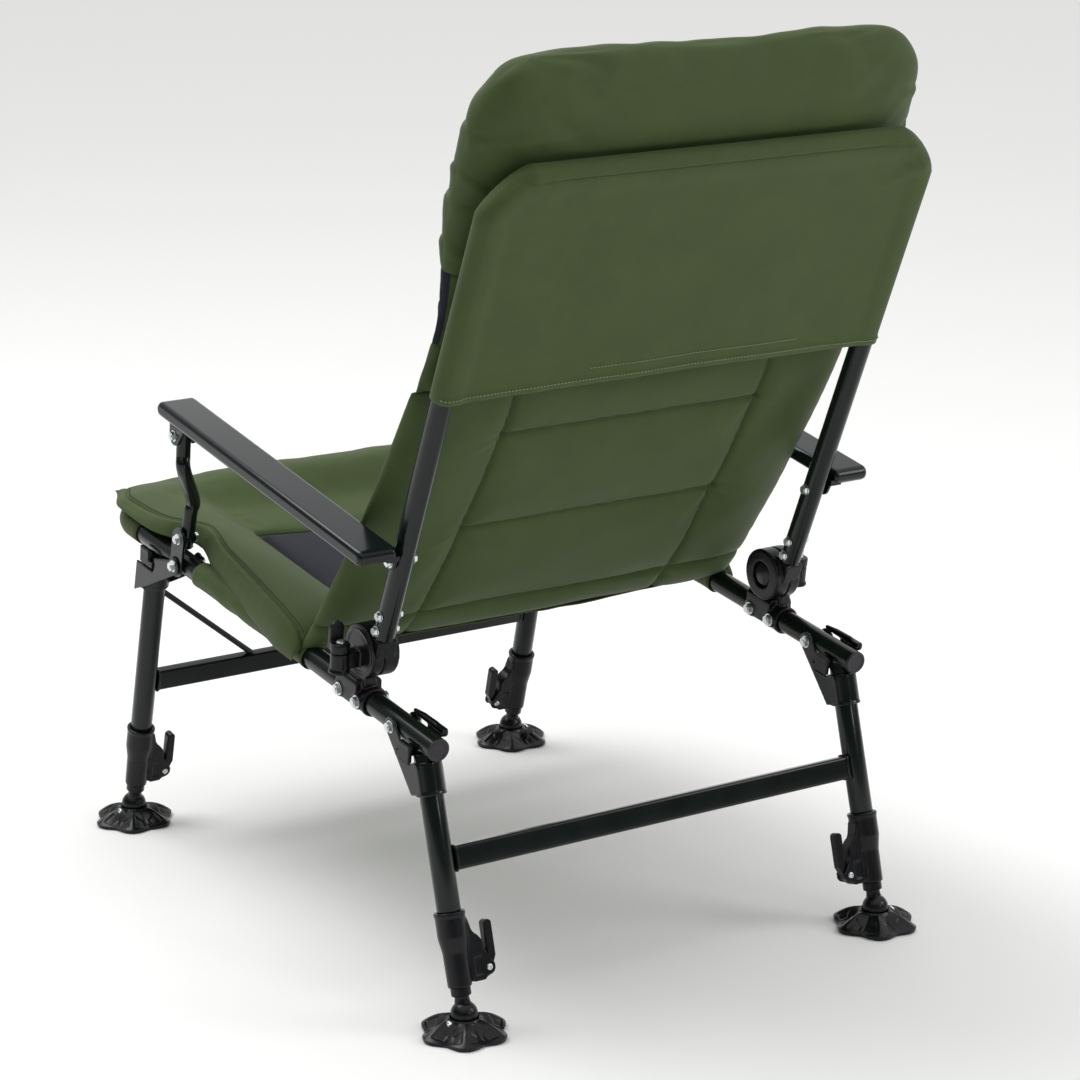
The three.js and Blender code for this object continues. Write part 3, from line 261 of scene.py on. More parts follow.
olive = {"dark": "3a4826", "mid": "42502b", "light": "4a5931"}
finishes = {
    "cloth": wovenCloth("wovenPolyester", olive),
    "mesh": spacerMesh(),
    # powder-coated steel: dark green-black gloss with a faint orange peel
    "paint": hardFinish("powderCoatedSteel", "0c1411", 0.22, {"grain": 2.2, "strength": 0.1, "depth": 0.3},
                        lift=0.35, **{"Specular IOR Level": 0.3, "Coat Weight": 0.08, "Coat Roughness": 0.1}),
    # injection-moulded nylon: black, spark-eroded skin, slightly waxy
    "nylon": hardFinish("mouldedNylon", "0b0c0f", 0.28, {"grain": 0.7, "strength": 0.12, "depth": 0.2},
                        lift=0.5, **{"Specular IOR Level": 0.28}),
    # lacquered armrest: smooth and glossy, mirrors the room at low angles
    "lacquer": hardFinish("lacquer", "0f1517", 0.2, {"grain": 4.0, "strength": 0.03, "depth": 0.3},
                          spread=0.05, lift=0.2, **{"Specular IOR Level": 0.3, "Coat Weight": 0.05,
                                                    "Coat Roughness": 0.08}),
    # bright zinc-plated steel: bluish white metal
    "zinc": hardFinish("zincPlatedSteel", "e4e9eb", 0.34, {"grain": 0.9, "strength": 0.1, "depth": 0.1},
                       spread=0.1, lift=-0.2, Metallic=1.0),
    # polyethylene end cap: dull violet-grey
    "polythene": hardFinish("mouldedPolythene", "1d1c22", 0.5, {"grain": 1.2, "strength": 0.1, "depth": 0.2},
                            lift=0.3),
    # bonded polyester thread: lighter than the cloth, slightly shiny
    "thread": hardFinish("polyesterThread", "84926a", 0.55, {"grain": 0.4, "strength": 0.3, "depth": 0.1}),
    # dark thread for the quilting, rim and top seams: the stitches are real, their dark colour is painted
    # shade of the seam grooves
    "seamShadeThread": hardFinish("seamShadeThread", "222e16", 0.6, {"grain": 0.4, "strength": 0.3, "depth": 0.1}),
}


# White overhead and beyond the chair, dim on the camera's side
def makeWorld():
    world = bpy.data.worlds.new("studio")
    bpy.context.scene.world = world
    world.use_nodes = True
    tree = world.node_tree
    back = next(n for n in tree.nodes if n.type == "BACKGROUND")
    way = addNode(tree, "ShaderNodeTexCoord").outputs["Generated"]
    height = addNode(tree, "ShaderNodeSeparateXYZ", links={0: way}).outputs["Z"]
    beyond = addNode(tree, "ShaderNodeVectorMath", {"operation": "DOT_PRODUCT", 1: studio["beyondWay"]},
                     {0: way}).outputs["Value"]
    parts = []
    for value, part in ((height, studio["overhead"]), (beyond, studio["beyond"])):
        ease = {"interpolation_type": "SMOOTHSTEP", "From Min": part["from"], "From Max": part["to"],
                "To Min": studio["dim"], "To Max": part["most"]}
        parts.append(addNode(tree, "ShaderNodeMapRange", ease, {"Value": value}).outputs[0])
    back.inputs["Color"].default_value = (1, 1, 1, 1)
    link(tree, reckon(tree, "MAXIMUM", *parts), back, "Strength")


def makeStage():
    mesh, half = bpy.data.meshes.new("floor"), studio["halfFloor"]
    mesh.from_pydata([(-half, -half, 0), (half, -half, 0), (half, half, 0), (-half, half, 0)], [],
                     [(0, 1, 2, 3)])
    floor = newObject("floor", mesh)
    mesh.materials.append(newMaterial("paleFloor", "f6f6f5", 0.8, **{"Specular IOR Level": 0.1})[0])
    makeWorld()
    for name, lamp in lamps.items():
        makeLight(name, **lamp)
    bpy.context.scene.view_settings.view_transform = "Standard"


# Shapes. A form is its points, in millimetres, and its faces.
def joined(*forms):
    points, faces, start = [], [], 0
    for p, f in forms:
        points.append(np.asarray(p, float))
        faces += [[i + start for i in face] for face in f]
        start += len(p)
    return np.concatenate(points), faces


def moved(form, x=0, y=0, z=0):
    return np.asarray(form[0], float) + (x, y, z), form[1]


def turned(form, axis, degrees):
    turn = np.array(Matrix.Rotation(math.radians(degrees), 3, axis))
    return np.asarray(form[0], float) @ turn.T, form[1]


def arc(u, v, radius, start, stop, steps=10):
    return [(u + radius * math.cos(math.radians(start + (stop - start) * i / steps)),
             v + radius * math.sin(math.radians(start + (stop - start) * i / steps)))
            for i in range(steps + 1)]


# A closed ring round an axis, for the beads and grooves that tube draws
def ringPath(axis, radius, at, centre, count=40):
    turns = [2 * math.pi * k / count for k in range(count + 1)]
    ring = [(centre[0] + radius * math.cos(a), centre[1] + radius * math.sin(a)) for a in turns]
    return [(u, v, at) if axis == "z" else (at, u, v) for u, v in ring]


def rounded(outline, radius, steps=4):
    out = []
    for i, (u, v) in enumerate(outline):
        a, b = Vector(outline[i - 1]), Vector(outline[(i + 1) % len(outline)])
        here = Vector((u, v))
        reach = min(radius, (a - here).length * 0.45, (b - here).length * 0.45)
        start, stop = here + (a - here).normalized() * reach, here + (b - here).normalized() * reach
        for k in range(steps + 1):
            t = k / steps
            out.append(tuple(start * (1 - t) ** 2 + here * 2 * t * (1 - t) + stop * t * t))
    return out


def slab(outline, near, far, plane="yz"):
    n = len(outline)
    order = {"yz": [2, 0, 1], "xz": [0, 2, 1], "xy": [0, 1, 2]}[plane]
    points = np.array([(u, v, w) for w in (near, far) for u, v in outline], float)[:, order]
    faces = [list(range(n)), list(range(2 * n - 1, n - 1, -1))]
    faces += [[i, n + i, n + (i + 1) % n, (i + 1) % n] for i in range(n)]
    return points, faces


def box(x, y, z):
    return slab([(x[0], y[0]), (x[1], y[0]), (x[1], y[1]), (x[0], y[1])], z[0], z[1], "xy")


def turnedForm(profile, count=48):
    points, rings, faces = [], [], []
    for r, z in profile:
        if r == 0:
            rings.append([len(points)] * count)
            points.append((0, 0, z))
            continue
        rings.append(list(range(len(points), len(points) + count)))
        points += [(r * math.cos(2 * math.pi * i / count), r * math.sin(2 * math.pi * i / count), z)
                   for i in range(count)]
    for low, high in zip(rings, rings[1:]):
        for i in range(count):
            face = [low[i], low[(i + 1) % count], high[(i + 1) % count], high[i]]
            faces.append([k for j, k in enumerate(face) if k not in face[:j]])
    return np.array(points, float), faces


def rod(axis, radius, start, stop, at=(0, 0, 0), count=40, edge=0.6):
    start, stop = min(start, stop), max(start, stop)
    edge = min(edge, radius * 0.4, (stop - start) * 0.4)
    form = turnedForm([(0, start), (radius - edge, start), (radius - edge * 0.3, start + edge * 0.3),
                       (radius, start + edge), (radius, stop - edge),
                       (radius - edge * 0.3, stop - edge * 0.3), (radius - edge, stop), (0, stop)], count)
    if axis == "x":
        form = turned(form, "Y", 90)
        return moved(form, 0, at[1], at[2])
    if axis == "y":
        form = turned(form, "X", -90)
        return moved(form, at[0], 0, at[2])
    return moved(form, at[0], at[1], 0)


def tube(path, halfU, halfV=None, normal=(0, 0, 1), count=36, capped=True):
    path = np.asarray(path, float)
    halfU = np.broadcast_to(halfU, len(path))
    halfV = halfU if halfV is None else np.broadcast_to(halfV, len(path))
    steps = np.diff(path, axis=0)
    steps /= np.linalg.norm(steps, axis=1)[:, None]
    along = np.concatenate([steps[:1], steps[:-1] + steps[1:], steps[-1:]])
    along /= np.linalg.norm(along, axis=1)[:, None]
    u = np.array(normal, float)
    points, faces = [], []
    angles = 2 * np.pi * np.arange(count) / count
    for i, p in enumerate(path):
        u = u - along[i] * (u @ along[i])
        u /= np.linalg.norm(u)
        v = np.cross(along[i], u)
        points.append(p + np.outer(np.cos(angles) * halfU[i], u) + np.outer(np.sin(angles) * halfV[i], v))
    for i in range(len(path) - 1):
        a, b = i * count, (i + 1) * count
        faces += [[a + k, a + (k + 1) % count, b + (k + 1) % count, b + k] for k in range(count)]
    if capped:
        faces += [list(range(count))[::-1], list(range((len(path) - 1) * count, len(path) * count))]
    return np.concatenate(points), faces


def smoothPath(points, steps):
    p = [np.array(q, float) for q in points]
    p = [2 * p[0] - p[1], *p, 2 * p[-1] - p[-2]]
    out = []
    for a, b, c, d in zip(p, p[1:], p[2:], p[3:]):
        for k in range(steps):
            t = k / steps
            out.append(0.5 * (2 * b + (c - a) * t + (2 * a - 5 * b + 4 * c - d) * t * t
                              + (3 * b - a - 3 * c + d) * t ** 3))
    return np.array(out + [p[-2]])


def bareObject(name, form):
    mesh = bpy.data.meshes.new(name)
    mesh.from_pydata(np.asarray(form[0], float).tolist(), [], [list(map(int, f)) for f in form[1]])
    return newObject(name, mesh)


def evaluated(piece):
    graph = bpy.context.evaluated_depsgraph_get()
    return bpy.data.meshes.new_from_object(piece.evaluated_get(graph), depsgraph=graph)


def discard(piece):
    mesh = piece.data
    bpy.data.objects.remove(piece)
    if isinstance(mesh, bpy.types.Mesh) and mesh.users == 0:
        bpy.data.meshes.remove(mesh)


def formOf(mesh):
    points = np.empty(len(mesh.vertices) * 3)
    mesh.vertices.foreach_get("co", points)
    return points.reshape(-1, 3), [list(p.vertices) for p in mesh.polygons]


# Melts closed forms into one moulded body with soft edges, after cutting others out of it
def moulded(form, cuts, voxel, rounds):
    base = bareObject("blank", form)
    cutters = []
    base.modifiers.new("melt", "REMESH").mode = "VOXEL"
    base.modifiers["melt"].voxel_size = voxel
    for cut in cuts:
        cutter = bareObject("cutter", cut)
        fixNormals(cutter.data)
        step = base.modifiers.new("cut", "BOOLEAN")
        step.operation, step.object, step.solver = "DIFFERENCE", cutter, "EXACT"
        cutters.append(cutter)
    if cuts:
        again = base.modifiers.new("again", "REMESH")
        again.mode, again.voxel_size = "VOXEL", voxel
    soften = base.modifiers.new("soften", "SMOOTH")
    soften.factor, soften.iterations = 0.5, rounds
    mesh = evaluated(base)
    form = formOf(mesh)
    bpy.data.meshes.remove(mesh)
    for piece in [base, *cutters]:
        discard(piece)
    return form


def fixNormals(mesh):
    work = bmesh.new()
    work.from_mesh(mesh)
    bmesh.ops.recalc_face_normals(work, faces=work.faces)
    work.to_mesh(mesh)
    work.free()


def smoothShaded(mesh):
    mesh.polygons.foreach_set("use_smooth", [True] * len(mesh.polygons))


def makePiece(name, form, at, finish, hand=1, bevel=0.0):
    sharp = math.radians(38)
    points, faces = form
    if hand < 0:
        faces = [list(f)[::-1] for f in faces]
    piece = bareObject(name, (toChair(points, at, hand), faces))
    fixNormals(piece.data)
    piece.data.materials.append(finishes[finish])
    smoothShaded(piece.data)
    if bevel:
        step = piece.modifiers.new("edges", "BEVEL")
        step.width, step.segments, step.limit_method = bevel * mm, 3, "ANGLE"
        step.angle_limit, step.harden_normals = sharp, True
    else:
        piece.data.set_sharp_from_angle(angle=sharp)
    return piece


def settle(piece, body, slot, *nodes):
    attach(piece, body)
    if nodes:
        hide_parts(*nodes)
    return piece


def put(name, form, at, finish, body, *nodes, hand=1, bevel=0.0):
    return settle(makePiece(name, form, at, finish, hand, bevel), body, finish, *nodes)


# Geometry Nodes: bolts on points and stitches along paths
def newTree(name, sizes):
    tree = bpy.data.node_groups.new(name, "GeometryNodeTree")
    tree.interface.new_socket("Geometry", in_out="INPUT", socket_type="NodeSocketGeometry")
    for label, value in sizes.items():
        socket = tree.interface.new_socket(label, in_out="INPUT", socket_type="NodeSocketFloat")
        socket.default_value = value
    tree.interface.new_socket("Geometry", in_out="OUTPUT", socket_type="NodeSocketGeometry")
    return tree, addNode(tree, "NodeGroupInput")


def endTree(tree, geometry, finish):
    real = addNode(tree, "GeometryNodeRealizeInstances", links={"Geometry": geometry})
    paint = addNode(tree, "GeometryNodeSetMaterial", {"Material": finishes[finish]},
                    {"Geometry": real.outputs[0]})
    addNode(tree, "NodeGroupOutput", links={"Geometry": paint.outputs[0]})
    return tree


def hexBoltTree():
    tree, given = newTree("hexBolts", {"Head radius": 6.4 * mm, "Head height": 3.7 * mm,
                                       "Washer radius": 7.4 * mm, "Washer height": 0.9 * mm})
    out = given.outputs
    washer = addNode(tree, "GeometryNodeMeshCylinder", {"Vertices": 28},
                     {"Radius": out["Washer radius"], "Depth": out["Washer height"]})
    head = addNode(tree, "GeometryNodeMeshCone", {"Vertices": 6},
                   {"Radius Bottom": out["Head radius"], "Depth": out["Head height"]})
    link(tree, reckon(tree, "MULTIPLY", out["Head radius"], 0.93), head, "Radius Top")
    tip = addNode(tree, "GeometryNodeMeshCylinder", {"Vertices": 18}, {
        "Radius": reckon(tree, "MULTIPLY", out["Head radius"], 0.56),
        "Depth": reckon(tree, "MULTIPLY", out["Head height"], 0.35)})
    tipUp = reckon(tree, "MULTIPLY_ADD", out["Head height"], 1.17, out["Washer height"])
    parts = [washer.outputs["Mesh"]]
    for part, height in ((head, out["Washer height"]), (tip, tipUp)):
        lift = addNode(tree, "ShaderNodeCombineXYZ", links={"Z": height}).outputs[0]
        parts.append(addNode(tree, "GeometryNodeTransform", links={
            "Geometry": part.outputs["Mesh"], "Translation": lift}).outputs[0])
    whole = addNode(tree, "GeometryNodeJoinGeometry")
    for part in parts:
        tree.links.new(part, whole.inputs[0])
    axis = addNode(tree, "GeometryNodeInputNamedAttribute", {"data_type": "FLOAT_VECTOR", "Name": "axis"})
    size = addNode(tree, "GeometryNodeInputNamedAttribute", {"data_type": "FLOAT", "Name": "size"})
    turn = addNode(tree, "FunctionNodeAlignRotationToVector", {"axis": "Z"},
                   {"Vector": axis.outputs["Attribute"]})
    spots = addNode(tree, "GeometryNodeInstanceOnPoints",
                    links={"Points": out["Geometry"], "Instance": whole.outputs[0],
                           "Rotation": turn.outputs[0], "Scale": size.outputs["Attribute"]})
    return endTree(tree, spots.outputs[0], "zinc")


def stitchTree(name, finish):
    tree, given = newTree(name, {"Pitch": 3.6 * mm, "Length": 2.7 * mm, "Thread": 0.42 * mm})
    out = given.outputs
    line = addNode(tree, "GeometryNodeMeshToCurve", links={"Mesh": out["Geometry"]})
    steps = addNode(tree, "GeometryNodeResampleCurve", {"mode": "LENGTH"}, {"Curve": line.outputs[0]})
    link(tree, out["Pitch"], steps, "Length")
    shape = addNode(tree, "ShaderNodeCombineXYZ", links={
        "X": out["Thread"], "Y": out["Thread"], "Z": reckon(tree, "MULTIPLY", out["Length"], 0.5)})
    bead = addNode(tree, "GeometryNodeMeshUVSphere", {"Segments": 6, "Rings": 4, "Radius": 1.0})
    way = addNode(tree, "GeometryNodeInputTangent")
    turn = addNode(tree, "FunctionNodeAlignRotationToVector", {"axis": "Z"}, {"Vector": way.outputs[0]})
    spots = addNode(tree, "GeometryNodeInstanceOnPoints", links={
        "Points": steps.outputs[0], "Instance": bead.outputs["Mesh"],
        "Rotation": turn.outputs[0], "Scale": shape.outputs[0]})
    return endTree(tree, spots.outputs[0], finish)


def runTree(piece, tree, values=None):
    step = piece.modifiers.new(tree.name, "NODES")
    step.node_group = tree
    for item in tree.interface.items_tree:
        if item.item_type == "SOCKET" and item.in_out == "INPUT" and item.name in (values or {}):
            step[item.identifier] = values[item.name]
    mesh = evaluated(piece)
    piece.modifiers.clear()
    old = piece.data
    piece.data = mesh
    bpy.data.meshes.remove(old)
    return piece


boltTree = hexBoltTree()
# the dark stitches carry painted seam shade in their thread colour
stitchTrees = {"light": stitchTree("lightStitches", "thread"),
               "dark": stitchTree("seamShadeStitches", "seamShadeThread")}


# A spot is the place of its part, the hand, a point in millimetres, its direction and its size
def makeBolts(name, body, spots, *nodes):
    points, axes, sizes = [], [], []
    for at, hand, spot, axis, size in spots:
        points.append(toChair([spot], at, hand)[0])
        tip = toChair([np.array(spot) + axis], at, hand)[0]
        axes.append((tip - points[-1]) / np.linalg.norm(tip - points[-1]))
        sizes.append(size)
    piece = bareObject(name, (np.array(points), []))
    piece.data.attributes.new("axis", "FLOAT_VECTOR", "POINT").data.foreach_set(
        "vector", np.array(axes, np.float32).ravel())
    piece.data.attributes.new("size", "FLOAT", "POINT").data.foreach_set(
        "value", np.array(sizes, np.float32))
    runTree(piece, boltTree)
    piece.data.set_sharp_from_angle(angle=math.radians(30))
    return settle(piece, body, "zinc", *nodes)


# Two bolt heads that face away from each other across the chair
def makeBoltPair(name, body, at, hand, ends, spot, sizes, *nodes):
    makeBolts(name, body, [(at, hand, (x, *spot), (way, 0, 0), size)
                           for x, way, size in zip(ends, (1, -1), sizes)], *nodes)


def makeStitches(name, runs, colour="light", pitch=3.6, thread=0.42):
    points, edges, share = [], [], 0.74
    for run in runs:
        start = len(points)
        points += list(run)
        edges += [(i, i + 1) for i in range(start, len(points) - 1)]
    mesh = bpy.data.meshes.new(name)
    mesh.from_pydata([tuple(p) for p in points], edges, [])
    piece = newObject(name, mesh)
    runTree(piece, stitchTrees[colour],
            {"Pitch": pitch * mm, "Length": pitch * share * mm, "Thread": thread * mm})
    smoothShaded(piece.data)
    return piece


print("shapes and finishes ready")


def seatToLeg(along, above, end):
    return into(legPlaces[end], *outOf(seatPlace, along, above))


# Seat frame: one U of round tube, plugged at its rear ends
def railPath():
    corner, turn = rails["spread"] - rails["bend"], rails["frontBar"] + rails["bend"]
    left = [(x, y, 0) for x, y in arc(corner, turn, rails["bend"], 0, -90, 14)]
    right = [(-x, y, z) for x, y, z in left[::-1]]
    return [(rails["spread"], rails["rearEnd"], 0), *left, *right, (-rails["spread"], rails["rearEnd"], 0)]


plug = {"lip": 2.7, "dish": 0.9, "deep": 11, "gap": 0.3}


def makeSeatFrame():
    put("railTube", tube(railPath(), rails["radius"], count=44), seatPlace, "paint", "seat", "seat_frame")
    r, low = rails["radius"], rails["rearEnd"] + plug["gap"]
    face, deep = low + plug["lip"], low - plug["deep"]
    profile = [(0, deep), (r - 2.2, deep), (r - 2.2, low), (r - 0.1, low), (r, low + 0.5), (r, face - 1.2),
               (r - 0.5, face - 0.4), (r - 1.4, face), (r - 3, face), (r - 4.2, face - plug["dish"]),
               (0, face - plug["dish"] + 0.4)]
    form = turned(turnedForm(profile, 44), "X", -90)
    for name, hand in hands.items():
        put(f"railPlug.{name}", moved(form, rails["spread"]), seatPlace, "polythene", "seat",
            f"rail_cap_{name}", hand=hand)


# Legs: round tube, with a folded sheet bracket welded round its top that straddles the rail
bracket = {"inner": 13.0, "thick": 2.5, "boss": 11, "lowered": 25, "neck": 6, "tube": 12.5, "ring": 15.5,
           "low": 98, "bead": 1.5, "below": 15, "sleeve": {"rear": 33.2, "front": 43},
           "rise": {"rear": 0, "front": 22}, "hug": {"rear": 6, "front": 15.5}}
latchWeb = {"long": 12, "top": 14.3, "thick": 7}
crossings = {"rear": 292.11, "front": 286.9}
crossbar = {"high": 25, "deep": 14, "round": 3.2, "weld": 1.9, "gap": 0.3}
stay = {"radius": 3.5, "reach": 127, "past": 3.5, "above": 1, "sunk": 1.7}


def legEdge(end):
    leg = legSets[end]
    lean = math.radians(leg["splay"] - leg["side"] * rails["tilt"])
    return crossings[end] + latchWeb["top"] * math.tan(lean) - bracket["tube"] / math.cos(lean) - 0.3


def bracketForm(end):
    leg, b = legSets[end], bracket
    s, x = leg["side"], rails["spread"]
    crossing, hug, rise = crossings[end], b["hug"][end], b["rise"][end]
    place = lambda u, v: seatToLeg(s * u, v, end)
    top = place(crossing, -b["lowered"])[1]
    low = top - b["sleeve"][end]
    dip = legEdge(end) - latchWeb["long"] - 0.6
    boss = [place(u, v) for u, v in arc(leg["pivot"], 0, b["boss"], 20, 215, 14)]
    corners = rounded([(s * hug, low), (s * hug, place(crossing + hug, -b["lowered"])[1]),
                       place(crossing, -b["lowered"]), place(dip, -b["lowered"]), place(dip, -b["neck"])], 3)
    outline = corners + boss + [(-s * b["ring"], low + rise)]
    outer = b["inner"] + leg["strip"]
    plates = [slab(outline, x + near, x + far) for near, far in (
        (-b["inner"] - b["thick"], -b["inner"]), (outer, outer + b["thick"]))]
    sleeve = rod("z", b["ring"], low + rise * 0.6, top + 1, (x, 0, 0), 48, 0.8)
    fill = [box((x, x + outer + b["thick"] / 2), (-b["tube"] / 2, b["tube"] / 2),
                (low + rise / 2, top))] if leg["strip"] else []
    ends = [seatToLeg(y, 0, end) for y in (-420, 360)]
    rail = tube([(x, *ends[0]), (x, *ends[1])], rails["radius"] + 0.35, count=40)
    core = rod("z", b["tube"] - 0.4, low - 20, top - 4, (x, 0, 0), 48)
    bead = tube(ringPath("z", b["ring"] - 0.6, low + 0.3 + rise * 0.6, (x, 0)), b["bead"], count=10,
                capped=False)
    return moulded(joined(*plates, sleeve, *fill, bead), [rail, core], 1.0, 3), low


def crossbarForm(end, low):
    reach, at = rails["spread"] - bracket["tube"] - crossbar["gap"], legSets[end]["crossbar"]
    u, v = crossbar["deep"] / 2, crossbar["high"] / 2
    outline = rounded([(-u, at - v), (u, at - v), (u, at + v), (-u, at + v)], crossbar["round"], 5)
    forms = [slab(outline, -reach, reach)]
    for s in (-1, 1):
        line = [(s * (reach - 1.2 + 0.9 * math.sin(0.9 * k)), y, z) for k, (y, z) in enumerate(outline)]
        forms.append(tube([*line, line[0]], crossbar["weld"], count=10, normal=(1, 0, 0), capped=False))
        if end == "front":
            start = (s * stay["reach"], 0, at + v - stay["sunk"])
            stop = (s * (rails["spread"] - bracket["ring"] + stay["past"]), 0, low + stay["above"])
            forms.append(tube([start, stop], stay["radius"], count=16))
    return joined(*forms)


def makeLegs():
    for end, leg in legSets.items():
        at, body = legPlaces[end], f"{end}_legs"
        form, low = bracketForm(end)
        tubeTop = seatToLeg(leg["side"] * crossings[end], 0, end)[1] - bracket["below"]
        legTube = rod("z", bracket["tube"], bracket["low"], tubeTop, (rails["spread"], 0, 0), 44)
        for name, hand in hands.items():
            put(f"{end}Bracket.{name}", form, at, "paint", body, f"{end}_leg_{name}", hand=hand)
            put(f"{end}Tube.{name}", legTube, at, "paint", body, hand=hand)
        put(f"{end}Crossbar", crossbarForm(end, low), at, "paint", body, f"{end}_crossbar")


# Collar: moulded clamp round the foot of each leg, with a hook-shaped cam lever beside it
collar = {"top": 129, "shoulder": 101, "waist": 87, "bottom": 51, "upper": 15.7, "lower": 12.6, "bore": 9.95,
          "mouth": 12.8, "mouthAt": 97.7}
housing = {"deep": 16, "reach": 30, "top": 100, "high": 120, "bottom": 53, "earReach": 41, "earTop": 84,
           "ear": 2.7}
cam = {"out": 33, "height": 65, "lobe": 6.6, "thick": 10, "bladeIn": 35, "bladeOut": 44.5, "bladeTop": 113}


def collarForm():
    c, h, x = collar, housing, rails["spread"]
    lathe = [(0, c["bottom"]), (c["lower"] - 0.6, c["bottom"]), (c["lower"], c["bottom"] + 0.8),
             (c["lower"] + 0.5, c["waist"]), (c["upper"] - 0.3, c["shoulder"]),
             (c["upper"], c["shoulder"] + 2), (c["upper"], c["top"] - 1.2), (c["upper"] - 0.8, c["top"]),
             (0, c["top"])]
    inside, back, pin = c["mouth"] - 0.3, x - h["reach"], x - cam["out"]
    body = slab(rounded([(x - inside, h["bottom"]), (back + h["ear"], h["bottom"]),
                         (back, h["bottom"] + h["ear"]), (back, h["top"] - 7), (back + 5, h["top"]),
                         (x - c["upper"] - 3, h["top"] + 5), (x - c["upper"] + 0.4, h["high"]),
                         (x - inside, h["high"])], 4), -h["deep"] / 2, h["deep"] / 2, "xz")
    ears = [slab(rounded([(back + h["ear"], h["bottom"]), (back + h["ear"], h["earTop"]),
                          (back - 3, h["earTop"] - 2)], 2)
                 + arc(pin, cam["height"], h["earReach"] - cam["out"], 120, 250, 12),
                 near, near + h["ear"], "xz")
            for near in (-h["deep"] / 2, h["deep"] / 2 - h["ear"])]
    room = cam["thick"] / 2 + 0.3
    cuts = [rod("y", cam["lobe"] + 0.3, -room, room, (pin, 0, cam["height"]), edge=0),
            rod("z", c["bore"], c["bottom"] - 5, c["mouthAt"] + 1, (x, 0, 0), edge=0),
            rod("z", c["mouth"], c["mouthAt"], c["top"] + 5, (x, 0, 0), edge=0)]
    cuts += [box((back + 4, x - 16.5), (s * h["deep"] / 2 - 1.3, s * h["deep"] / 2 + 1.3),
                 (h["bottom"] + 6, h["top"] - 22)) for s in (-1, 1)]
    lip = moved(turnedForm([(0, c["top"] - 4.2), (c["upper"] + 0.7, c["top"] - 4.2),
                            (c["upper"] + 0.9, c["top"] - 1), (c["upper"], c["top"]), (0, c["top"])]), x)
    return moulded(joined(moved(turnedForm(lathe), x), lip, body, *ears), cuts, 0.85, 3)


def camForm():
    c, x = cam, rails["spread"]
    half, pin = (c["bladeOut"] - c["bladeIn"]) / 2, x - c["out"]
    tip = arc(x - c["bladeIn"] - half, c["bladeTop"] - half, half, 0, 180, 12)
    blade = slab([(pin, c["height"] + c["lobe"] * 0.8), (x - c["bladeIn"], c["height"] + 2 * c["lobe"]), *tip,
                  (x - c["bladeOut"], c["height"] + 1.6 * c["lobe"]),
                  (pin - 0.8 * c["lobe"], c["height"] - 0.3 * c["lobe"])],
                 -c["thick"] / 2, c["thick"] / 2, "xz")
    lobe = rod("y", c["lobe"], -c["thick"] / 2, c["thick"] / 2, (pin, 0, c["height"]))
    return moulded(joined(blade, lobe), (), 0.7, 4)


# Foot: a stem with a ball, and a wavy mud foot that swivels on it
stem = {"radius": 9.6, "top": 205, "shoulder": 10.5, "shoulderTop": 50.6, "neck": 7.5, "neckTop": 42,
        "ball": 14.3, "ballUp": 22}
mud = {"radius": 47.8, "waist": 40.3, "rim": 4.5, "hub": 18, "hubTop": 18.5, "lobes": 6, "steps": 216,
       "rings": 40, "fold": 3.6, "sunk": 1.3}
footPin = {"out": 20.5, "along": 3.2, "up": 16.6}


def stemForm(end):
    up = stem["ballUp"] / math.cos(math.radians(legSets[end]["splay"]))
    ball = [(stem["ball"] * math.cos(math.radians(a)), up + stem["ball"] * math.sin(math.radians(a)))
            for a in range(-84, 58, 6)]
    s = stem
    profile = [(0, up - s["ball"]), *ball, (s["neck"], s["neckTop"] - 2), (s["neck"] + 0.6, s["neckTop"]),
               (s["shoulder"] - 0.8, s["neckTop"]), (s["shoulder"], s["neckTop"] + 0.8),
               (s["shoulder"], s["shoulderTop"]), (s["radius"], s["shoulderTop"]), (s["radius"], s["top"]),
               (0, s["top"])]
    return moved(turnedForm(profile, 44), rails["spread"])


# side is 1 on a ridge and 0 in a valley; the sides between are flat, with a sunken panel
def mudHeight(share, side):
    m = mud
    slope = m["hubTop"] + (m["rim"] - m["hubTop"]) * share
    fold = m["fold"] * (2 * side - 1) * math.sin(math.pi * min(1, 0.12 + 0.8 * share))
    inset = min((side - 0.2) * 1.2, (0.82 - side) * 1.2, share - 0.26 - 0.3 * (1 - side), 0.86 - share)
    return slope + fold - m["sunk"] * min(1, max(0, inset / 0.05))


def mudForm():
    m, n, points, faces = mud, mud["steps"], [], []
    well = [(0, 7), (9.5, 9.4), (14.4, 14.5), (15.2, m["hubTop"] + 1), (16.7, m["hubTop"] + 1.6),
            (m["hub"], m["hubTop"])]
    rows = [[spot] * n for spot in well]
    turns = [m["lobes"] * i / n for i in range(n)]
    edges = [m["waist"] + (m["radius"] - m["waist"]) * ((1 + math.cos(2 * math.pi * t)) / 2) ** 0.8
             for t in turns]
    for k in range(1, m["rings"] + 1):
        share = k / m["rings"]
        rows.append([(m["hub"] + (edge - m["hub"]) * share, mudHeight(share, abs(2 * (t % 1) - 1)))
                     for edge, t in zip(edges, turns)])
    edgeRow = rows[-1]
    for step, low in ((0.3, 0.5), (1.4, 0.12), (3.4, 0)):
        rows.append([(r - step, z * low) for r, z in edgeRow])
    rows.append([(0, 0)] * n)
    for row in rows:
        for i, (r, z) in enumerate(row):
            a = 2 * math.pi * i / n
            points.append((r * math.cos(a), r * math.sin(a), z))
    for k in range(len(rows) - 1):
        for i in range(n):
            a, b = k * n + i, k * n + (i + 1) % n
            faces.append([a, a + n, b + n, b])
    return np.array(points), faces


def weld(piece, distance=0.02):
    work = bmesh.new()
    work.from_mesh(piece.data)
    bmesh.ops.remove_doubles(work, verts=work.verts, dist=distance * mm)
    bmesh.ops.recalc_face_normals(work, faces=work.faces)
    work.to_mesh(piece.data)
    work.free()
    return piece


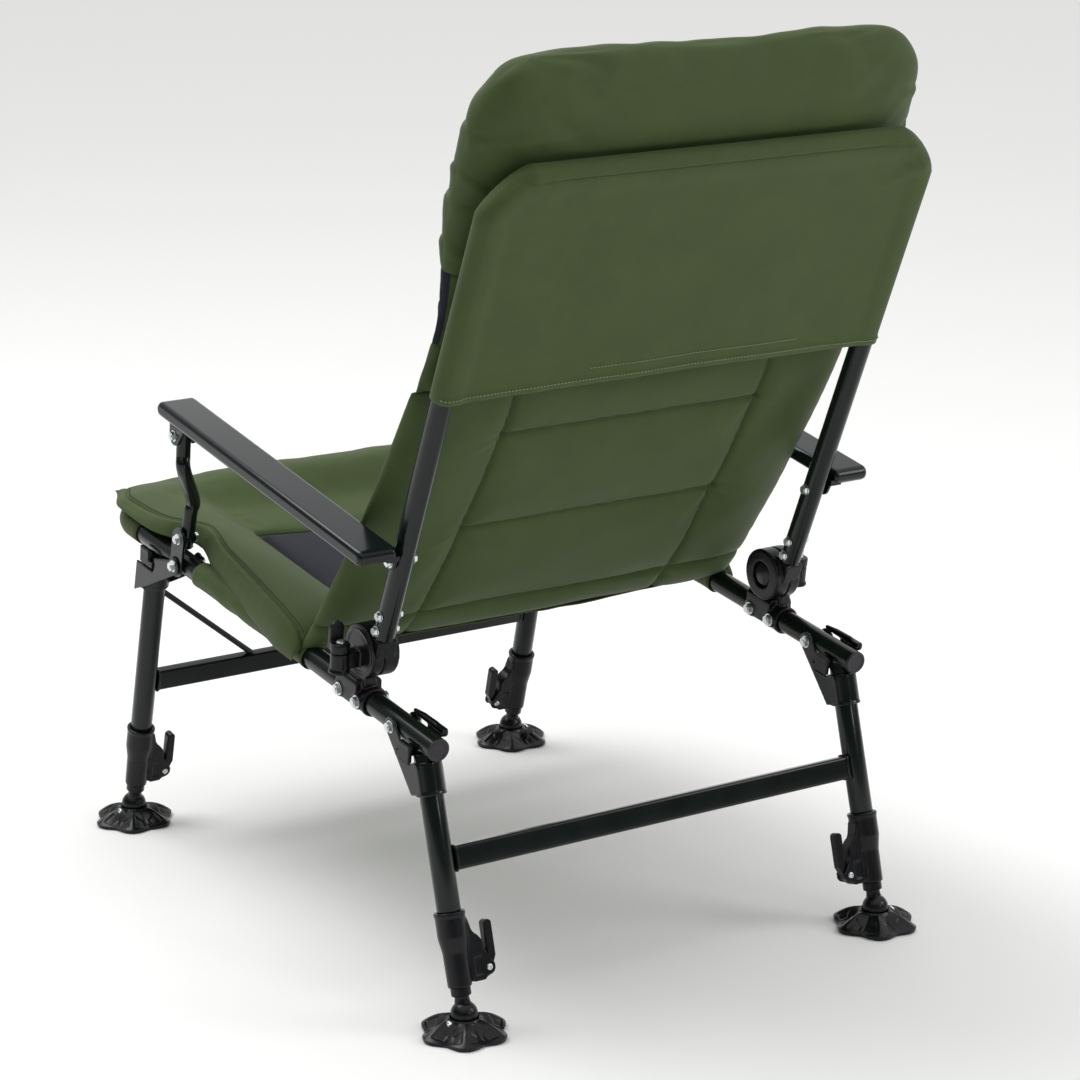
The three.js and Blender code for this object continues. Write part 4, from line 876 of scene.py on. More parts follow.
def footPlace(end):
    leg = legSets[end]
    y, _ = outOf(legPlaces[end], 0, stem["ballUp"] / math.cos(math.radians(leg["splay"])))
    return placeAt(y, 0, 0)


# A round head with a cross recess
def screwForm(radius, high):
    head = turnedForm([(0, 0), (radius, 0), (radius, high * 0.35), (radius * 0.86, high * 0.8),
                       (radius * 0.6, high), (0, high * 1.05)], 28)
    long, thin = (-radius * 0.62, radius * 0.62), (-radius * 0.13, radius * 0.13)
    deep = (high * 0.55, high * 2)
    return moulded(head, [box(long, thin, deep), box(thin, long, deep)], radius * 0.045, 1)


def makeFeet():
    collars, cams, mudFoot, pan = collarForm(), camForm(), mudForm(), screwForm(3.6, 2.2)
    pins = joined(*[moved(turned(pan, "X", -90 * s), rails["spread"] - cam["out"],
                          s * (housing["deep"] / 2 - 0.2), cam["height"]) for s in (-1, 1)])
    sidePin = moved(turned(turned(pan, "Y", 40), "Z", 8), rails["spread"] + footPin["out"], footPin["along"],
                    footPin["up"])
    for end in legSets:
        stemBody, at, ground, legs = stemForm(end), legPlaces[end], footPlace(end), f"{end}_legs"
        for name, hand in hands.items():
            lever, inner, foot = (f"{end}_{part}_{name}" for part in ("cam_lever", "inner_leg", "mud_foot"))
            put(f"{end}Collar.{name}", collars, at, "nylon", legs, f"{end}_collar_{name}", hand=hand)
            put(f"{end}CamLever.{name}", cams, at, "nylon", lever, lever, hand=hand)
            put(f"{end}Stem.{name}", stemBody, at, "nylon", inner, inner, hand=hand)
            piece = makePiece(f"{end}MudFoot.{name}", moved(mudFoot, rails["spread"]), ground, "nylon", hand)
            settle(weld(piece), foot, "nylon", foot)
            put(f"{end}CamPin.{name}", pins, at, "zinc", legs, hand=hand)
            put(f"{end}FootPin.{name}", sidePin, ground, "zinc", foot, hand=hand)
    print("legs and feet ready")


# Latch: sprung rocker under the rail, with a hook on the chair's right of each rail
latch = {"arm": 16.2, "armThick": 3.8, "lipTop": 15.7, "lipBottom": 10.8, "lipReach": 13.2, "lip": 14,
         "bladeFront": 15, "bladeBack": 47, "bladeStep": 28, "bladeLow": 7.6, "button": 4.6, "buttonTop": -2,
         "buttonBack": 14, "buttonLong": 20, "drop": {"rear": 1.8, "front": 4}}


def latchForm(end):
    k, s, x = latch, legSets[end]["side"], rails["spread"]
    edge, crossing, low = legEdge(end), crossings[end], -latchWeb["top"] - latchWeb["thick"]
    drop = k["drop"][end]
    top, bottom, bladeLow = k["lipTop"] - drop, k["lipBottom"] - drop, k["bladeLow"] - drop
    span = lambda a, b: tuple(sorted((s * a, s * b)))
    web = span(edge - latchWeb["long"], edge)
    armOut, buttonOut = k["arm"] + k["armThick"], k["arm"] + k["button"]
    point = lambda back, z: (s * (crossing + back), z)
    blade = rounded([point(-k["bladeStep"], bottom), point(-k["bladeBack"], bottom + 0.8),
                     point(-k["bladeBack"], (top + bottom) / 2), point(-k["bladeStep"], top),
                     point(k["bladeFront"], top), point(k["bladeFront"], bladeLow),
                     point(0, bladeLow - latchWeb["thick"])], 4)
    lip = span(crossing - k["lip"], crossing + k["lip"])
    button = span(crossing - k["buttonBack"], crossing - k["buttonBack"] + k["buttonLong"])
    parts = [box((x - armOut, x + buttonOut), web, (low, -latchWeb["top"])),
             box((x - armOut, x - k["arm"]), web, (low, top - 0.3)),
             slab(blade, x - armOut, x - k["arm"]),
             box((x - armOut, x - k["lipReach"]), lip, (bottom, top)),
             box((x + k["arm"], x + buttonOut), button, (low, k["buttonTop"])),
             rod("y", 3.4, button[0], button[1], (x + buttonOut - 3.0, 0, k["buttonTop"] - 3)),
             tube([(x - k["lipReach"] - 3.4, s * (crossing + u), v) for u, v in (
                 (-k["bladeBack"] + 2, bottom + 2), (-k["bladeStep"], top - 2.6), (-4, top - 2.4),
                 (k["bladeFront"] - 2, top - 4))], [2.0, 3.6, 4.0, 2.8], count=16)]
    return moulded(joined(*parts), (), 0.75, 4)


def makeLatches():
    for end in legSets:
        form = latchForm(end)
        for name, hand in hands.items():
            here = form if hand > 0 else moved(form, -2 * rails["spread"])
            put(f"{end}Latch.{name}", here, seatPlace, "nylon", f"latch_{end}_{name}", f"latch_{end}_{name}")


# Recliner hub: fixed saddle with its clamp, turning disc, axle cap and lever
saddle = {"half": 15.8, "front": 138, "rear": 197, "low": -10, "high": 22, "neckFront": 152, "neckRear": 190,
          "discIn": 262.5, "discOut": 277, "boltFront": 149, "boltRear": 185.3, "pad": 8.6}
barrel = {"x": 298, "forward": 2.6, "radius": 10, "low": 30, "high": 53, "flange": 11.4}
clamp = {"high": 10.2, "bladeHigh": 31, "bladeWide": 16, "bladeThick": 5, "bladeOff": 9.5, "head": 4.8}
rotor = {"inner": 244, "outer": 262.2, "recess": 15.2, "deep": 5, "neckFront": 9, "neckRear": 11.7,
         "neckHalf": 11, "neckTop": 29.5, "stub": 34}
hubRing = {"inside": 6, "radius": 1.1}


def hubGroove(x, centre):
    return tube(ringPath("x", hub["radius"] - hubRing["inside"], x, centre), hubRing["radius"], count=8,
                normal=(1, 0, 0), capped=False)


def saddleForm():
    g, x, tower = saddle, rails["spread"], barrel
    grip = slab(rounded([(x - g["half"], g["low"]), (x + g["half"], g["low"]), (x + g["half"], g["high"]),
                         (x - g["half"], g["high"])], 7), g["front"] + 3, g["rear"] - 14, "xz")
    heel = rod("y", g["half"] - 0.6, g["rear"] - 20, g["rear"] - 3, (x, 0, 0), 48)
    rings = [rod("y", g["half"], start, start + 6, (x, 0, 0), edge=1.2)
             for start in (g["front"], g["rear"] - 6)]
    neck = slab(rounded([(g["neckFront"], g["high"] - 8), (g["neckRear"], g["high"] - 8),
                         (g["neckRear"] - 5, hub["above"]), (g["neckFront"] + 5, hub["above"])], 6),
                g["discIn"], g["discOut"])
    disc = rod("x", hub["radius"], g["discIn"], g["discOut"], (0, hub["along"], hub["above"]), 64, 1.6)
    arm = box((g["discOut"] - 5, tower["x"]), (hub["along"] - 10, hub["along"] + 5),
              (tower["low"] + 5, tower["high"] - 0.5))
    at = (tower["x"], hub["along"] - tower["forward"], 0)
    pillar = rod("z", tower["radius"], tower["low"], tower["high"], at, 48, 1.2)
    flange = rod("z", tower["flange"], tower["low"], tower["low"] + 4, at, 48, 1.2)
    pads = [rod("x", g["pad"], x - g["half"] - 0.8, x + g["half"] + 0.8, (0, y, 0), 32)
            for y in (g["boltFront"], g["boltRear"])]
    rail = rod("y", rails["radius"] + 0.3, g["front"] - 20, g["rear"] + 20, (x, 0, 0), 48)
    ring = hubGroove(g["discOut"], (hub["along"], hub["above"]))
    body = joined(grip, heel, *rings, neck, disc, arm, pillar, flange, *pads)
    return moulded(body, [rail, ring], 0.9, 3)


def leverForm():
    x, y = barrel["x"], hub["along"] - barrel["forward"]
    low, high = barrel["high"] + 0.3, barrel["high"] + clamp["high"]
    half = clamp["bladeWide"] / 2
    tip = arc(x, low + clamp["bladeHigh"] - half, half, 0, 180, 14)
    offset = y - clamp["bladeOff"]
    blade = slab([(x + half, low), *tip, (x - half, low)], offset - clamp["bladeThick"] / 2,
                 offset + clamp["bladeThick"] / 2, "xz")
    boss = rod("z", barrel["radius"] + 0.3, low, high, (x, y, 0), 48, 1.2)
    return moulded(joined(boss, blade), (), 0.7, 4)


def rotorForm():
    r, x, y = rotor, backTube["spread"], backTube["behind"]
    disc = rod("x", hub["radius"], r["inner"], r["outer"], (0, 0, 0), 64, 1.6)
    neck = slab(rounded([(y - r["neckFront"], 0), (y + r["neckRear"], 0), (y + r["neckRear"], r["neckTop"]),
                         (y - r["neckFront"] - 2, r["neckTop"])], 3), x - r["neckHalf"], x + r["neckHalf"])
    plugBody = moved(turnedForm([(0, 22), (9, 22), (9, r["stub"]), (0, r["stub"])], 40), x, y)
    cuts = [rod("x", hub["radius"] + 0.4, r["outer"], r["outer"] + 30, (0, 0, 0), 64, 0.1),
            rod("x", r["recess"], r["inner"] - 5, r["inner"] + r["deep"], (0, 0, 0), 48, 0.1),
            hubGroove(r["inner"], (0, 0))]
    lip = rod("x", hub["radius"] - 12, r["inner"], r["inner"] + 3, (0, 0, 0), 48, 0.6)
    return moulded(joined(disc, neck, plugBody, lip), cuts, 0.9, 3)


def makeHubs():
    forms = {"saddle": saddleForm(), "lever": leverForm(), "rotor": rotorForm()}
    profile = [(0, -5), (5.2, -5), (5.2, 0), (14.4, 0), (14.6, 1.6), (13.6, 3.2), (11, 4.2), (0, 4.8)]
    cap = moved(turned(turnedForm(profile, 48), "Y", -90), rotor["inner"] + 5.6, hub["along"], hub["above"])
    top = moved(screwForm(clamp["head"], 2.4), barrel["x"], hub["along"] - barrel["forward"],
                barrel["high"] + clamp["high"] + 0.2)
    for name, hand in hands.items():
        lever = f"hub_lever_{name}"
        put(f"hubSaddle.{name}", forms["saddle"], seatPlace, "nylon", "seat", f"hub_saddle_{name}", hand=hand)
        put(f"hubLever.{name}", forms["lever"], seatPlace, "nylon", lever, lever, hand=hand)
        put(f"hubRotor.{name}", forms["rotor"], backPlace, "nylon", "back", f"hub_rotor_{name}", hand=hand)
        put(f"hubCap.{name}", cap, seatPlace, "nylon", "seat", f"hub_bolt_{name}", hand=hand)
        put(f"hubScrew.{name}", top, seatPlace, "zinc", "seat", hand=hand)
        spots = [(seatPlace, hand, (rails["spread"] + s * (saddle["half"] + 0.7), y, 0), (s, 0, 0), 0.95)
                 for s in (-1, 1) for y in (saddle["boltFront"], saddle["boltRear"])]
        makeBolts(f"saddleBolts.{name}", "seat", spots)
    print("hubs ready")


# Back frame: an upturned U of oval tube, bolted to the hubs
tubeBolts = {"heights": (38, 57), "size": 0.78}


def makeBackFrame():
    b = backTube
    corner, turn = b["spread"] - b["bend"], b["top"] - b["bend"]
    left = [(x, b["behind"], z) for x, z in arc(corner, turn, b["bend"], 0, 90, 14)]
    path = [(b["spread"], b["behind"], b["bottom"]), *left, *[(-x, y, z) for x, y, z in left[::-1]],
            (-b["spread"], b["behind"], b["bottom"])]
    put("backTube", tube(path, b["halfY"], b["halfX"], (0, 1, 0), 44), backPlace, "paint", "back",
        "back_frame")
    spots = [(backPlace, hand, (b["spread"] + s * (b["halfX"] + 0.2), b["behind"], up), (s, 0, 0),
              tubeBolts["size"]) for hand in hands.values() for s in (-1, 1) for up in tubeBolts["heights"]]
    makeBolts("tubeBolts", "back", spots)
    for name, hand in hands.items():
        makeBoltPair(f"armBolt.{name}", "back", armPlace, hand, (lug["outer"], b["spread"] - b["halfX"]),
                     (0, 0), (0.85, 0.85), f"arm_rear_bolt_{name}")


# Armrests, their brackets and the posts that carry them
armrest = {"centre": 302, "wide": 45.5, "thick": 17, "rise": 5.7, "rear": 16.5, "front": 424, "round": 5.6,
           "screws": ((313, -9), (292, -2))}
lug = {"inner": 275.6, "outer": 278.6, "far": 290, "half": 14, "low": 9, "thick": 6}
clevis = {"half": 9.2, "ear": 2.5, "long": 26, "low": 11, "plate": 2.5}
post = {"radius": 8, "x": 271.5, "below": 12, "above": 6, "low": 50, "high": 107, "back": 14.5, "forward": 4,
        "lowEase": 18, "highEase": 16, "spacer": 6.7}
strip = {"thick": 3, "boss": 13, "x": 281.1}
sheetEdge = 0.5


def barForm():
    a = armrest
    half = a["thick"] / 2
    middle = a["rise"] + half
    outline = arc(a["rear"] - half, middle, half, -90, 90, 12)
    outline += arc(-a["front"] + half, middle, half, 90, 270, 12)
    return slab(outline, a["centre"] - a["wide"] / 2, a["centre"] + a["wide"] / 2)


def lugForm():
    g, rise = lug, armrest["rise"]
    ear = slab([(g["half"], rise + g["thick"]), (-g["half"], rise + g["thick"]),
                *arc(0, 0, g["low"], 200, 340, 14)], g["inner"], g["outer"])
    return joined(ear, box((g["inner"], g["far"]), (-g["half"], g["half"]), (rise, rise + g["thick"])))


def clevisForm():
    c, middle, along, top = clevis, armrest["centre"], -clevisPivot["along"], armrest["rise"] - 0.3
    out = c["half"] + c["ear"]
    outline = [(along + 24, top), (along - 12, top),
               *arc(along, -clevisPivot["below"], c["low"], 185, 318, 14)]
    ears = [slab(outline, middle + s * c["half"], middle + s * out) for s in (-1, 1)]
    plate = box((middle - out, middle + out), (along - 13, along + c["long"]), (top - c["plate"], top))
    return joined(*ears, plate)


def postForm():
    p, middle = post, armrest["centre"]
    path = smoothPath([(p["x"], 0, -p["below"]), (p["x"], -p["forward"], p["low"] - p["lowEase"]),
                       (p["x"], -p["forward"], p["low"]), (middle, p["back"], p["high"]),
                       (middle, p["back"] / 2, p["high"] + p["highEase"]),
                       (middle, 0, postLength + p["above"])], 12)
    ends = np.minimum(np.arange(len(path)), np.arange(len(path))[::-1])
    return joined(tube(path, p["radius"] * np.minimum(1, 0.9 + 0.06 * ends), count=36),
                  rod("x", p["spacer"], p["x"], strip["x"] - 0.3, (0, 0, 0), 28))


def stripForm():
    low, high = (-legSets["front"]["pivot"], 0), (postFoot["along"], postFoot["above"])
    lean = math.degrees(math.atan2(high[1] - low[1], high[0] - low[0])) - 90
    outline = arc(*high, strip["boss"], lean, lean + 180, 18)
    outline += arc(*low, strip["boss"], lean + 180, lean + 360, 18)
    return slab(outline, strip["x"], strip["x"] + strip["thick"])


def makeArms():
    forms = {"bar": barForm(), "lug": lugForm(), "clevis": clevisForm(), "post": postForm(),
             "strip": stripForm()}
    out, x = clevis["half"] + clevis["ear"], rails["spread"]
    clevisEnds = (armrest["centre"] + out + 0.4, armrest["centre"] - out - 0.4)
    postEnds = (strip["x"] + strip["thick"] + 0.3, post["x"] - post["radius"] - 0.3)
    near = bracket["inner"] + bracket["thick"]
    for name, hand in hands.items():
        arm, carrier = f"armrest_{name}", f"arm_post_{name}"
        put(f"armBar.{name}", forms["bar"], armPlace, "lacquer", arm, arm, hand=hand, bevel=armrest["round"])
        put(f"armLug.{name}", forms["lug"], armPlace, "lacquer", arm, hand=hand, bevel=sheetEdge)
        put(f"armClevis.{name}", forms["clevis"], armPlace, "paint", arm, f"arm_clevis_{name}", hand=hand,
            bevel=sheetEdge)
        makeBoltPair(f"clevisScrew.{name}", arm, armPlace, hand, clevisEnds,
                     (-clevisPivot["along"], -clevisPivot["below"]), (0.85, 0.7), f"clevis_screw_{name}")
        put(f"armPost.{name}", forms["post"], postPlace, "paint", carrier, carrier, hand=hand)
        put(f"armStrip.{name}", forms["strip"], seatPlace, "paint", "seat", f"post_strip_{name}", hand=hand,
            bevel=sheetEdge)
        makeBoltPair(f"postBolt.{name}", "seat", seatPlace, hand, postEnds,
                     (postFoot["along"], postFoot["above"]), (0.85, 0.8))
        for end, leg in legSets.items():
            ends = (x + near + leg["strip"] + 0.3, x - near - 0.3)
            makeBoltPair(f"{end}PivotBolt.{name}", "seat", seatPlace, hand, ends,
                         (leg["side"] * leg["pivot"], 0), (0.9, 0.9), f"{end}_pivot_bolt_{name}")
    pan = turned(screwForm(3.9, 2.0), "X", 180)
    pans = joined(*[moved(pan, u, v, armrest["rise"] - 0.1) for u, v in armrest["screws"]])
    for name, hand in hands.items():
        put(f"armScrews.{name}", pans, armPlace, "zinc", f"armrest_{name}", hand=hand)
    print("arms ready")


# Soft pieces. Each is a grid of points on its two faces, in millimetres in the frame of its part;
# the faces meet in a sewn rim. The grid swells as cloth, is refined, and then gets its fine creases.
# Its curves run from 0 to 1: an eased step, an arch across a cushion, a soft and a sharp fold line.
def smoothStep(share):
    t = np.clip(share, 0, 1)
    return t * t * (3 - 2 * t)


def crown(share, power):
    return np.sqrt(np.maximum(0, 1 - np.abs(share) ** power))


def valley(distance, width):
    return np.exp(-(distance / width) ** 2)


def crease(distance, width):
    return np.exp(-np.abs(distance) / width)


# Waves of about one length, in millimetres, that are the same on each run
def ripple(along, length, seed):
    rng = np.random.default_rng(seed)
    waves = [(rng.uniform(0.6, 1.7), rng.uniform(0, 2 * np.pi), rng.uniform(0.5, 1)) for _ in range(5)]
    return sum(a * np.sin(2 * np.pi * along * k / length + p) for k, p, a in waves) / 2.2


# Places of the grid's lines: even steps between the marks, closer at the rims and beside the seams
def stations(marks, step, rims=(0.0012, 0.004, 0.01, 0.02, 0.035, 0.055), low=True, seam=0.0):
    width = marks[-1] - marks[0]
    out = [marks[0]]
    for a, b in zip(marks, marks[1:]):
        count = max(1, round((b - a) / step))
        out += [a + (b - a) * (k + 1) / count for k in range(count)]
    ends = [marks[0] + width * r / 2 for r in rims] * low + [marks[-1] - width * r / 2 for r in rims]
    clear = width * (rims[-1] + 0.012) / 2
    inner = [x for x in out if (not low or x > marks[0] + clear or x == marks[0])
             and (x < marks[-1] - clear or x == marks[-1])]
    beside = [m + seam * k for m in marks[1:-1] for k in (-2.4, -1, 1, 2.4)] if seam else []
    inner = [x for x in inner if x in marks or min(abs(x - m) for m in marks) > 3.4 * seam]
    return np.array(sorted(set(inner + ends + beside)))


def rimOf(shape):
    rim = np.zeros(shape, bool)
    rim[[0, -1], :] = rim[:, [0, -1]] = True
    return rim


def refined(grid):
    for axis in (0, 1):
        g = np.moveaxis(grid, axis, 0)
        fine = np.empty((2 * len(g) - 1, *g.shape[1:]))
        fine[1::2] = (g[:-1] + g[1:]) / 2
        fine[0], fine[-1] = g[0], g[-1]
        fine[2:-1:2] = (g[:-2] + 6 * g[1:-1] + g[2:]) / 8
        grid = np.moveaxis(fine, 0, axis)
    return grid


def halved(values):
    fine = np.empty(2 * len(values) - 1)
    fine[::2], fine[1::2] = values, (values[:-1] + values[1:]) / 2
    return fine


def gridNormals(grid):
    across, along = np.gradient(grid, axis=1), np.gradient(grid, axis=0)
    n = np.cross(across, along)
    return n / np.maximum(np.linalg.norm(n, axis=2), 1e-9)[..., None]


def lengths(grid, axis):
    steps = np.linalg.norm(np.diff(grid, axis=axis), axis=2)
    total = np.cumsum(steps, axis=axis)
    pad = np.zeros_like(np.take(total, [0], axis=axis))
    out = np.concatenate([pad, total], axis=axis)
    middle = np.take(out, [out.shape[axis] // 2], axis=axis)
    return out - middle


# One mesh of several grids, with a map of the cloth in metres; sewn grids share their rims
def sewnMesh(name, grids, at, finishKeys, patches=None, sewn=True):
    points, faces, marks, spread = [], [], [], []
    for side, grid in enumerate(grids):
        rows, cols = grid.shape[:2]
        index = np.arange(rows * cols).reshape(rows, cols) + sum(len(p) for p in points)
        points.append(grid.reshape(-1, 3))
        u, v = lengths(grid, 1) * mm, lengths(grid, 0) * mm
        patch = patches[side] if patches else np.zeros((rows - 1, cols - 1), int)
        order = [(0, 0), (0, 1), (1, 1), (1, 0)] if side % 2 == 0 else [(0, 0), (1, 0), (1, 1), (0, 1)]
        corners = [(slice(dj, rows - 1 + dj), slice(di, cols - 1 + di)) for dj, di in order]
        faces.append(np.stack([index[corner].ravel() for corner in corners], 1))
        spread.append(np.stack([np.stack([u[corner].ravel(), v[corner].ravel()], 1)
                                for corner in corners], 1))
        marks.append(patch.ravel())
    faces, spread, marks = np.concatenate(faces), np.concatenate(spread), np.concatenate(marks)
    mesh = bpy.data.meshes.new(name)
    mesh.from_pydata(toChair(np.concatenate(points), at).tolist(), [], faces.tolist())
    cloth = mesh.uv_layers.new(name="cloth").data
    cloth.foreach_set("uv", spread.reshape(-1, 2).astype(np.float32).ravel())
    for key in finishKeys:
        mesh.materials.append(finishes[key])
    mesh.polygons.foreach_set("material_index", marks.astype(np.int32))
    smoothShaded(mesh)
    piece = newObject(name, mesh)
    if sewn:
        weld(piece)
    else:
        fixNormals(mesh)
    return piece


# Cloth under pressure, held at its seams; returns how far each point of the grids moved, in millimetres
def swell(grids, held, at, pressure, cap, frames=20):
    rows, cols = grids[0].shape[:2]
    flat = np.concatenate([g.reshape(-1, 3) for g in grids])
    rim = rimOf((rows, cols))
    number = np.arange(2 * rows * cols).reshape(2, rows, cols)
    number[1][rim] = number[0][rim]
    used, packed = np.unique(number, return_inverse=True)
    packed = packed.reshape(number.shape)
    quads = []
    for side in (0, 1):
        k = packed[side]
        a, b, c, d = k[:-1, :-1].ravel(), k[:-1, 1:].ravel(), k[1:, 1:].ravel(), k[1:, :-1].ravel()
        quads += np.stack([a, b, c, d] if side == 0 else [a, d, c, b], 1).tolist()
    start = toChair(flat[used], at)
    piece = bareObject("puff", (start, quads))
    fixNormals(piece.data)
    pins = piece.vertex_groups.new(name="held")
    pins.add([int(i) for i in np.unique(packed[np.stack([held | rim] * 2)])], 1.0, "REPLACE")
    step = piece.modifiers.new("cloth", "CLOTH")
    cloth = step.settings
    cloth.quality, cloth.mass, cloth.air_damping = 5, 0.2, 2.0
    cloth.tension_stiffness = cloth.compression_stiffness = 18
    cloth.shear_stiffness, cloth.bending_stiffness = 8, 1.2
    cloth.use_pressure, cloth.uniform_pressure_force = True, pressure
    cloth.vertex_group_mass = "held"
    cloth.effector_weights.gravity = 0
    step.collision_settings.use_collision = False
    step.point_cache.frame_start, step.point_cache.frame_end = 1, frames
    for frameNumber in range(1, frames + 1):
        bpy.context.scene.frame_set(frameNumber)
    mesh = evaluated(piece)
    shifts = toPart(formOf(mesh)[0], at) - toPart(start, at)
    far = np.linalg.norm(shifts, axis=1)
    shifts *= (cap * np.tanh(far / cap) / np.maximum(far, 1e-9))[:, None]
    bpy.data.meshes.remove(mesh)
    discard(piece)
    bpy.context.scene.frame_set(1)
    return [shifts[packed[side]] for side in (0, 1)]


def sample(grid, us, vs, u, v):
    i = np.clip(np.searchsorted(us, u) - 1, 0, len(us) - 2)
    j = np.clip(np.searchsorted(vs, v) - 1, 0, len(vs) - 2)
    a, b = ((u - us[i]) / (us[i + 1] - us[i]))[:, None], ((v - vs[j]) / (vs[j + 1] - vs[j]))[:, None]
    return ((grid[j, i] * (1 - a) + grid[j, i + 1] * a) * (1 - b)
            + (grid[j + 1, i] * (1 - a) + grid[j + 1, i + 1] * a) * b)


def seamRun(grid, us, vs, start, stop, at, lift=0.25, side=1):
    count = 220
    u, v = np.linspace(start[0], stop[0], count), np.linspace(start[1], stop[1], count)
    spots = sample(grid, us, vs, u, v) + sample(gridNormals(grid), us, vs, u, v) * lift * side
    return toChair(spots, at)


def thicken(piece, thickness, offset):
    step = piece.modifiers.new("cloth", "SOLIDIFY")
    step.thickness, step.offset = thickness * mm, offset


def absorb(piece, other):
    work = bmesh.new()
    work.from_mesh(piece.data)
    first = len(work.faces)
    work.from_mesh(other.data)
    work.faces.ensure_lookup_table()
    shift = len(piece.data.materials)
    for face in work.faces[first:]:
        face.material_index += shift
    materials = list(other.data.materials)
    work.to_mesh(piece.data)
    work.free()
    for material in materials:
        piece.data.materials.append(material)
    discard(other)
    return piece


# A cushion from its middle surface and half thickness: swollen as cloth, refined, then creased
def padded(at, us, vs, middle, half, way, held, details, cap, pressure, limit=None):
    U, V = np.meshgrid(us, vs)
    way = np.array(way, float)
    grids = [middle(U, V) + side * half(U, V)[..., None] * way for side in (1, -1)]
    rim = rimOf(U.shape)
    grids[1][rim] = grids[0][rim]
    grids = [g + m for g, m in zip(grids, swell(grids, held(U, V), at, pressure, cap))]
    grids = [refined(g) for g in grids]
    us, vs = halved(us), halved(vs)
    U, V = np.meshgrid(us, vs)
    for side, grid in zip((1, -1), grids):
        normal = gridNormals(grid)
        normal *= np.sign(normal @ way * side)[..., None] + (normal @ way == 0)[..., None]
        grid += normal * details(U, V, side)[..., None]
        if limit:
            limit(grid, side)
    rim = rimOf(U.shape)
    grids[1][rim] = grids[0][rim]
    return grids, us, vs


# Seat cushion: padded rim and front roll round a panel of spacer mesh
seatPad = {"front": -404, "rear": 64, "half": 286, "waist": 255, "waistAt": -212, "waistLong": 40, "over": 16,
           "rimUp": 5, "skirt": 18, "flare": 6, "bolster": 27, "middle": 16, "mesh": 165, "meshFront": -237,
           "meshRear": -8, "roll": 50, "corner": 20, "bar": 60, "lieTo": 170, "liftTo": 240, "seamIn": 13,
           "anchor": 11, "seamDeep": 3.6, "meshDeep": 2.8}
sling = {"edge": 259, "edgeUp": 9.4, "sag": 21, "thick": 2.2, "front": -382, "rear": 67}


def slingHeight(x, y):
    taut = 1 - 0.75 * smoothStep((y - sling["rear"] + 140) / 110)
    return sling["edgeUp"] - sling["sag"] * taut * (1 - (x / sling["edge"]) ** 2)


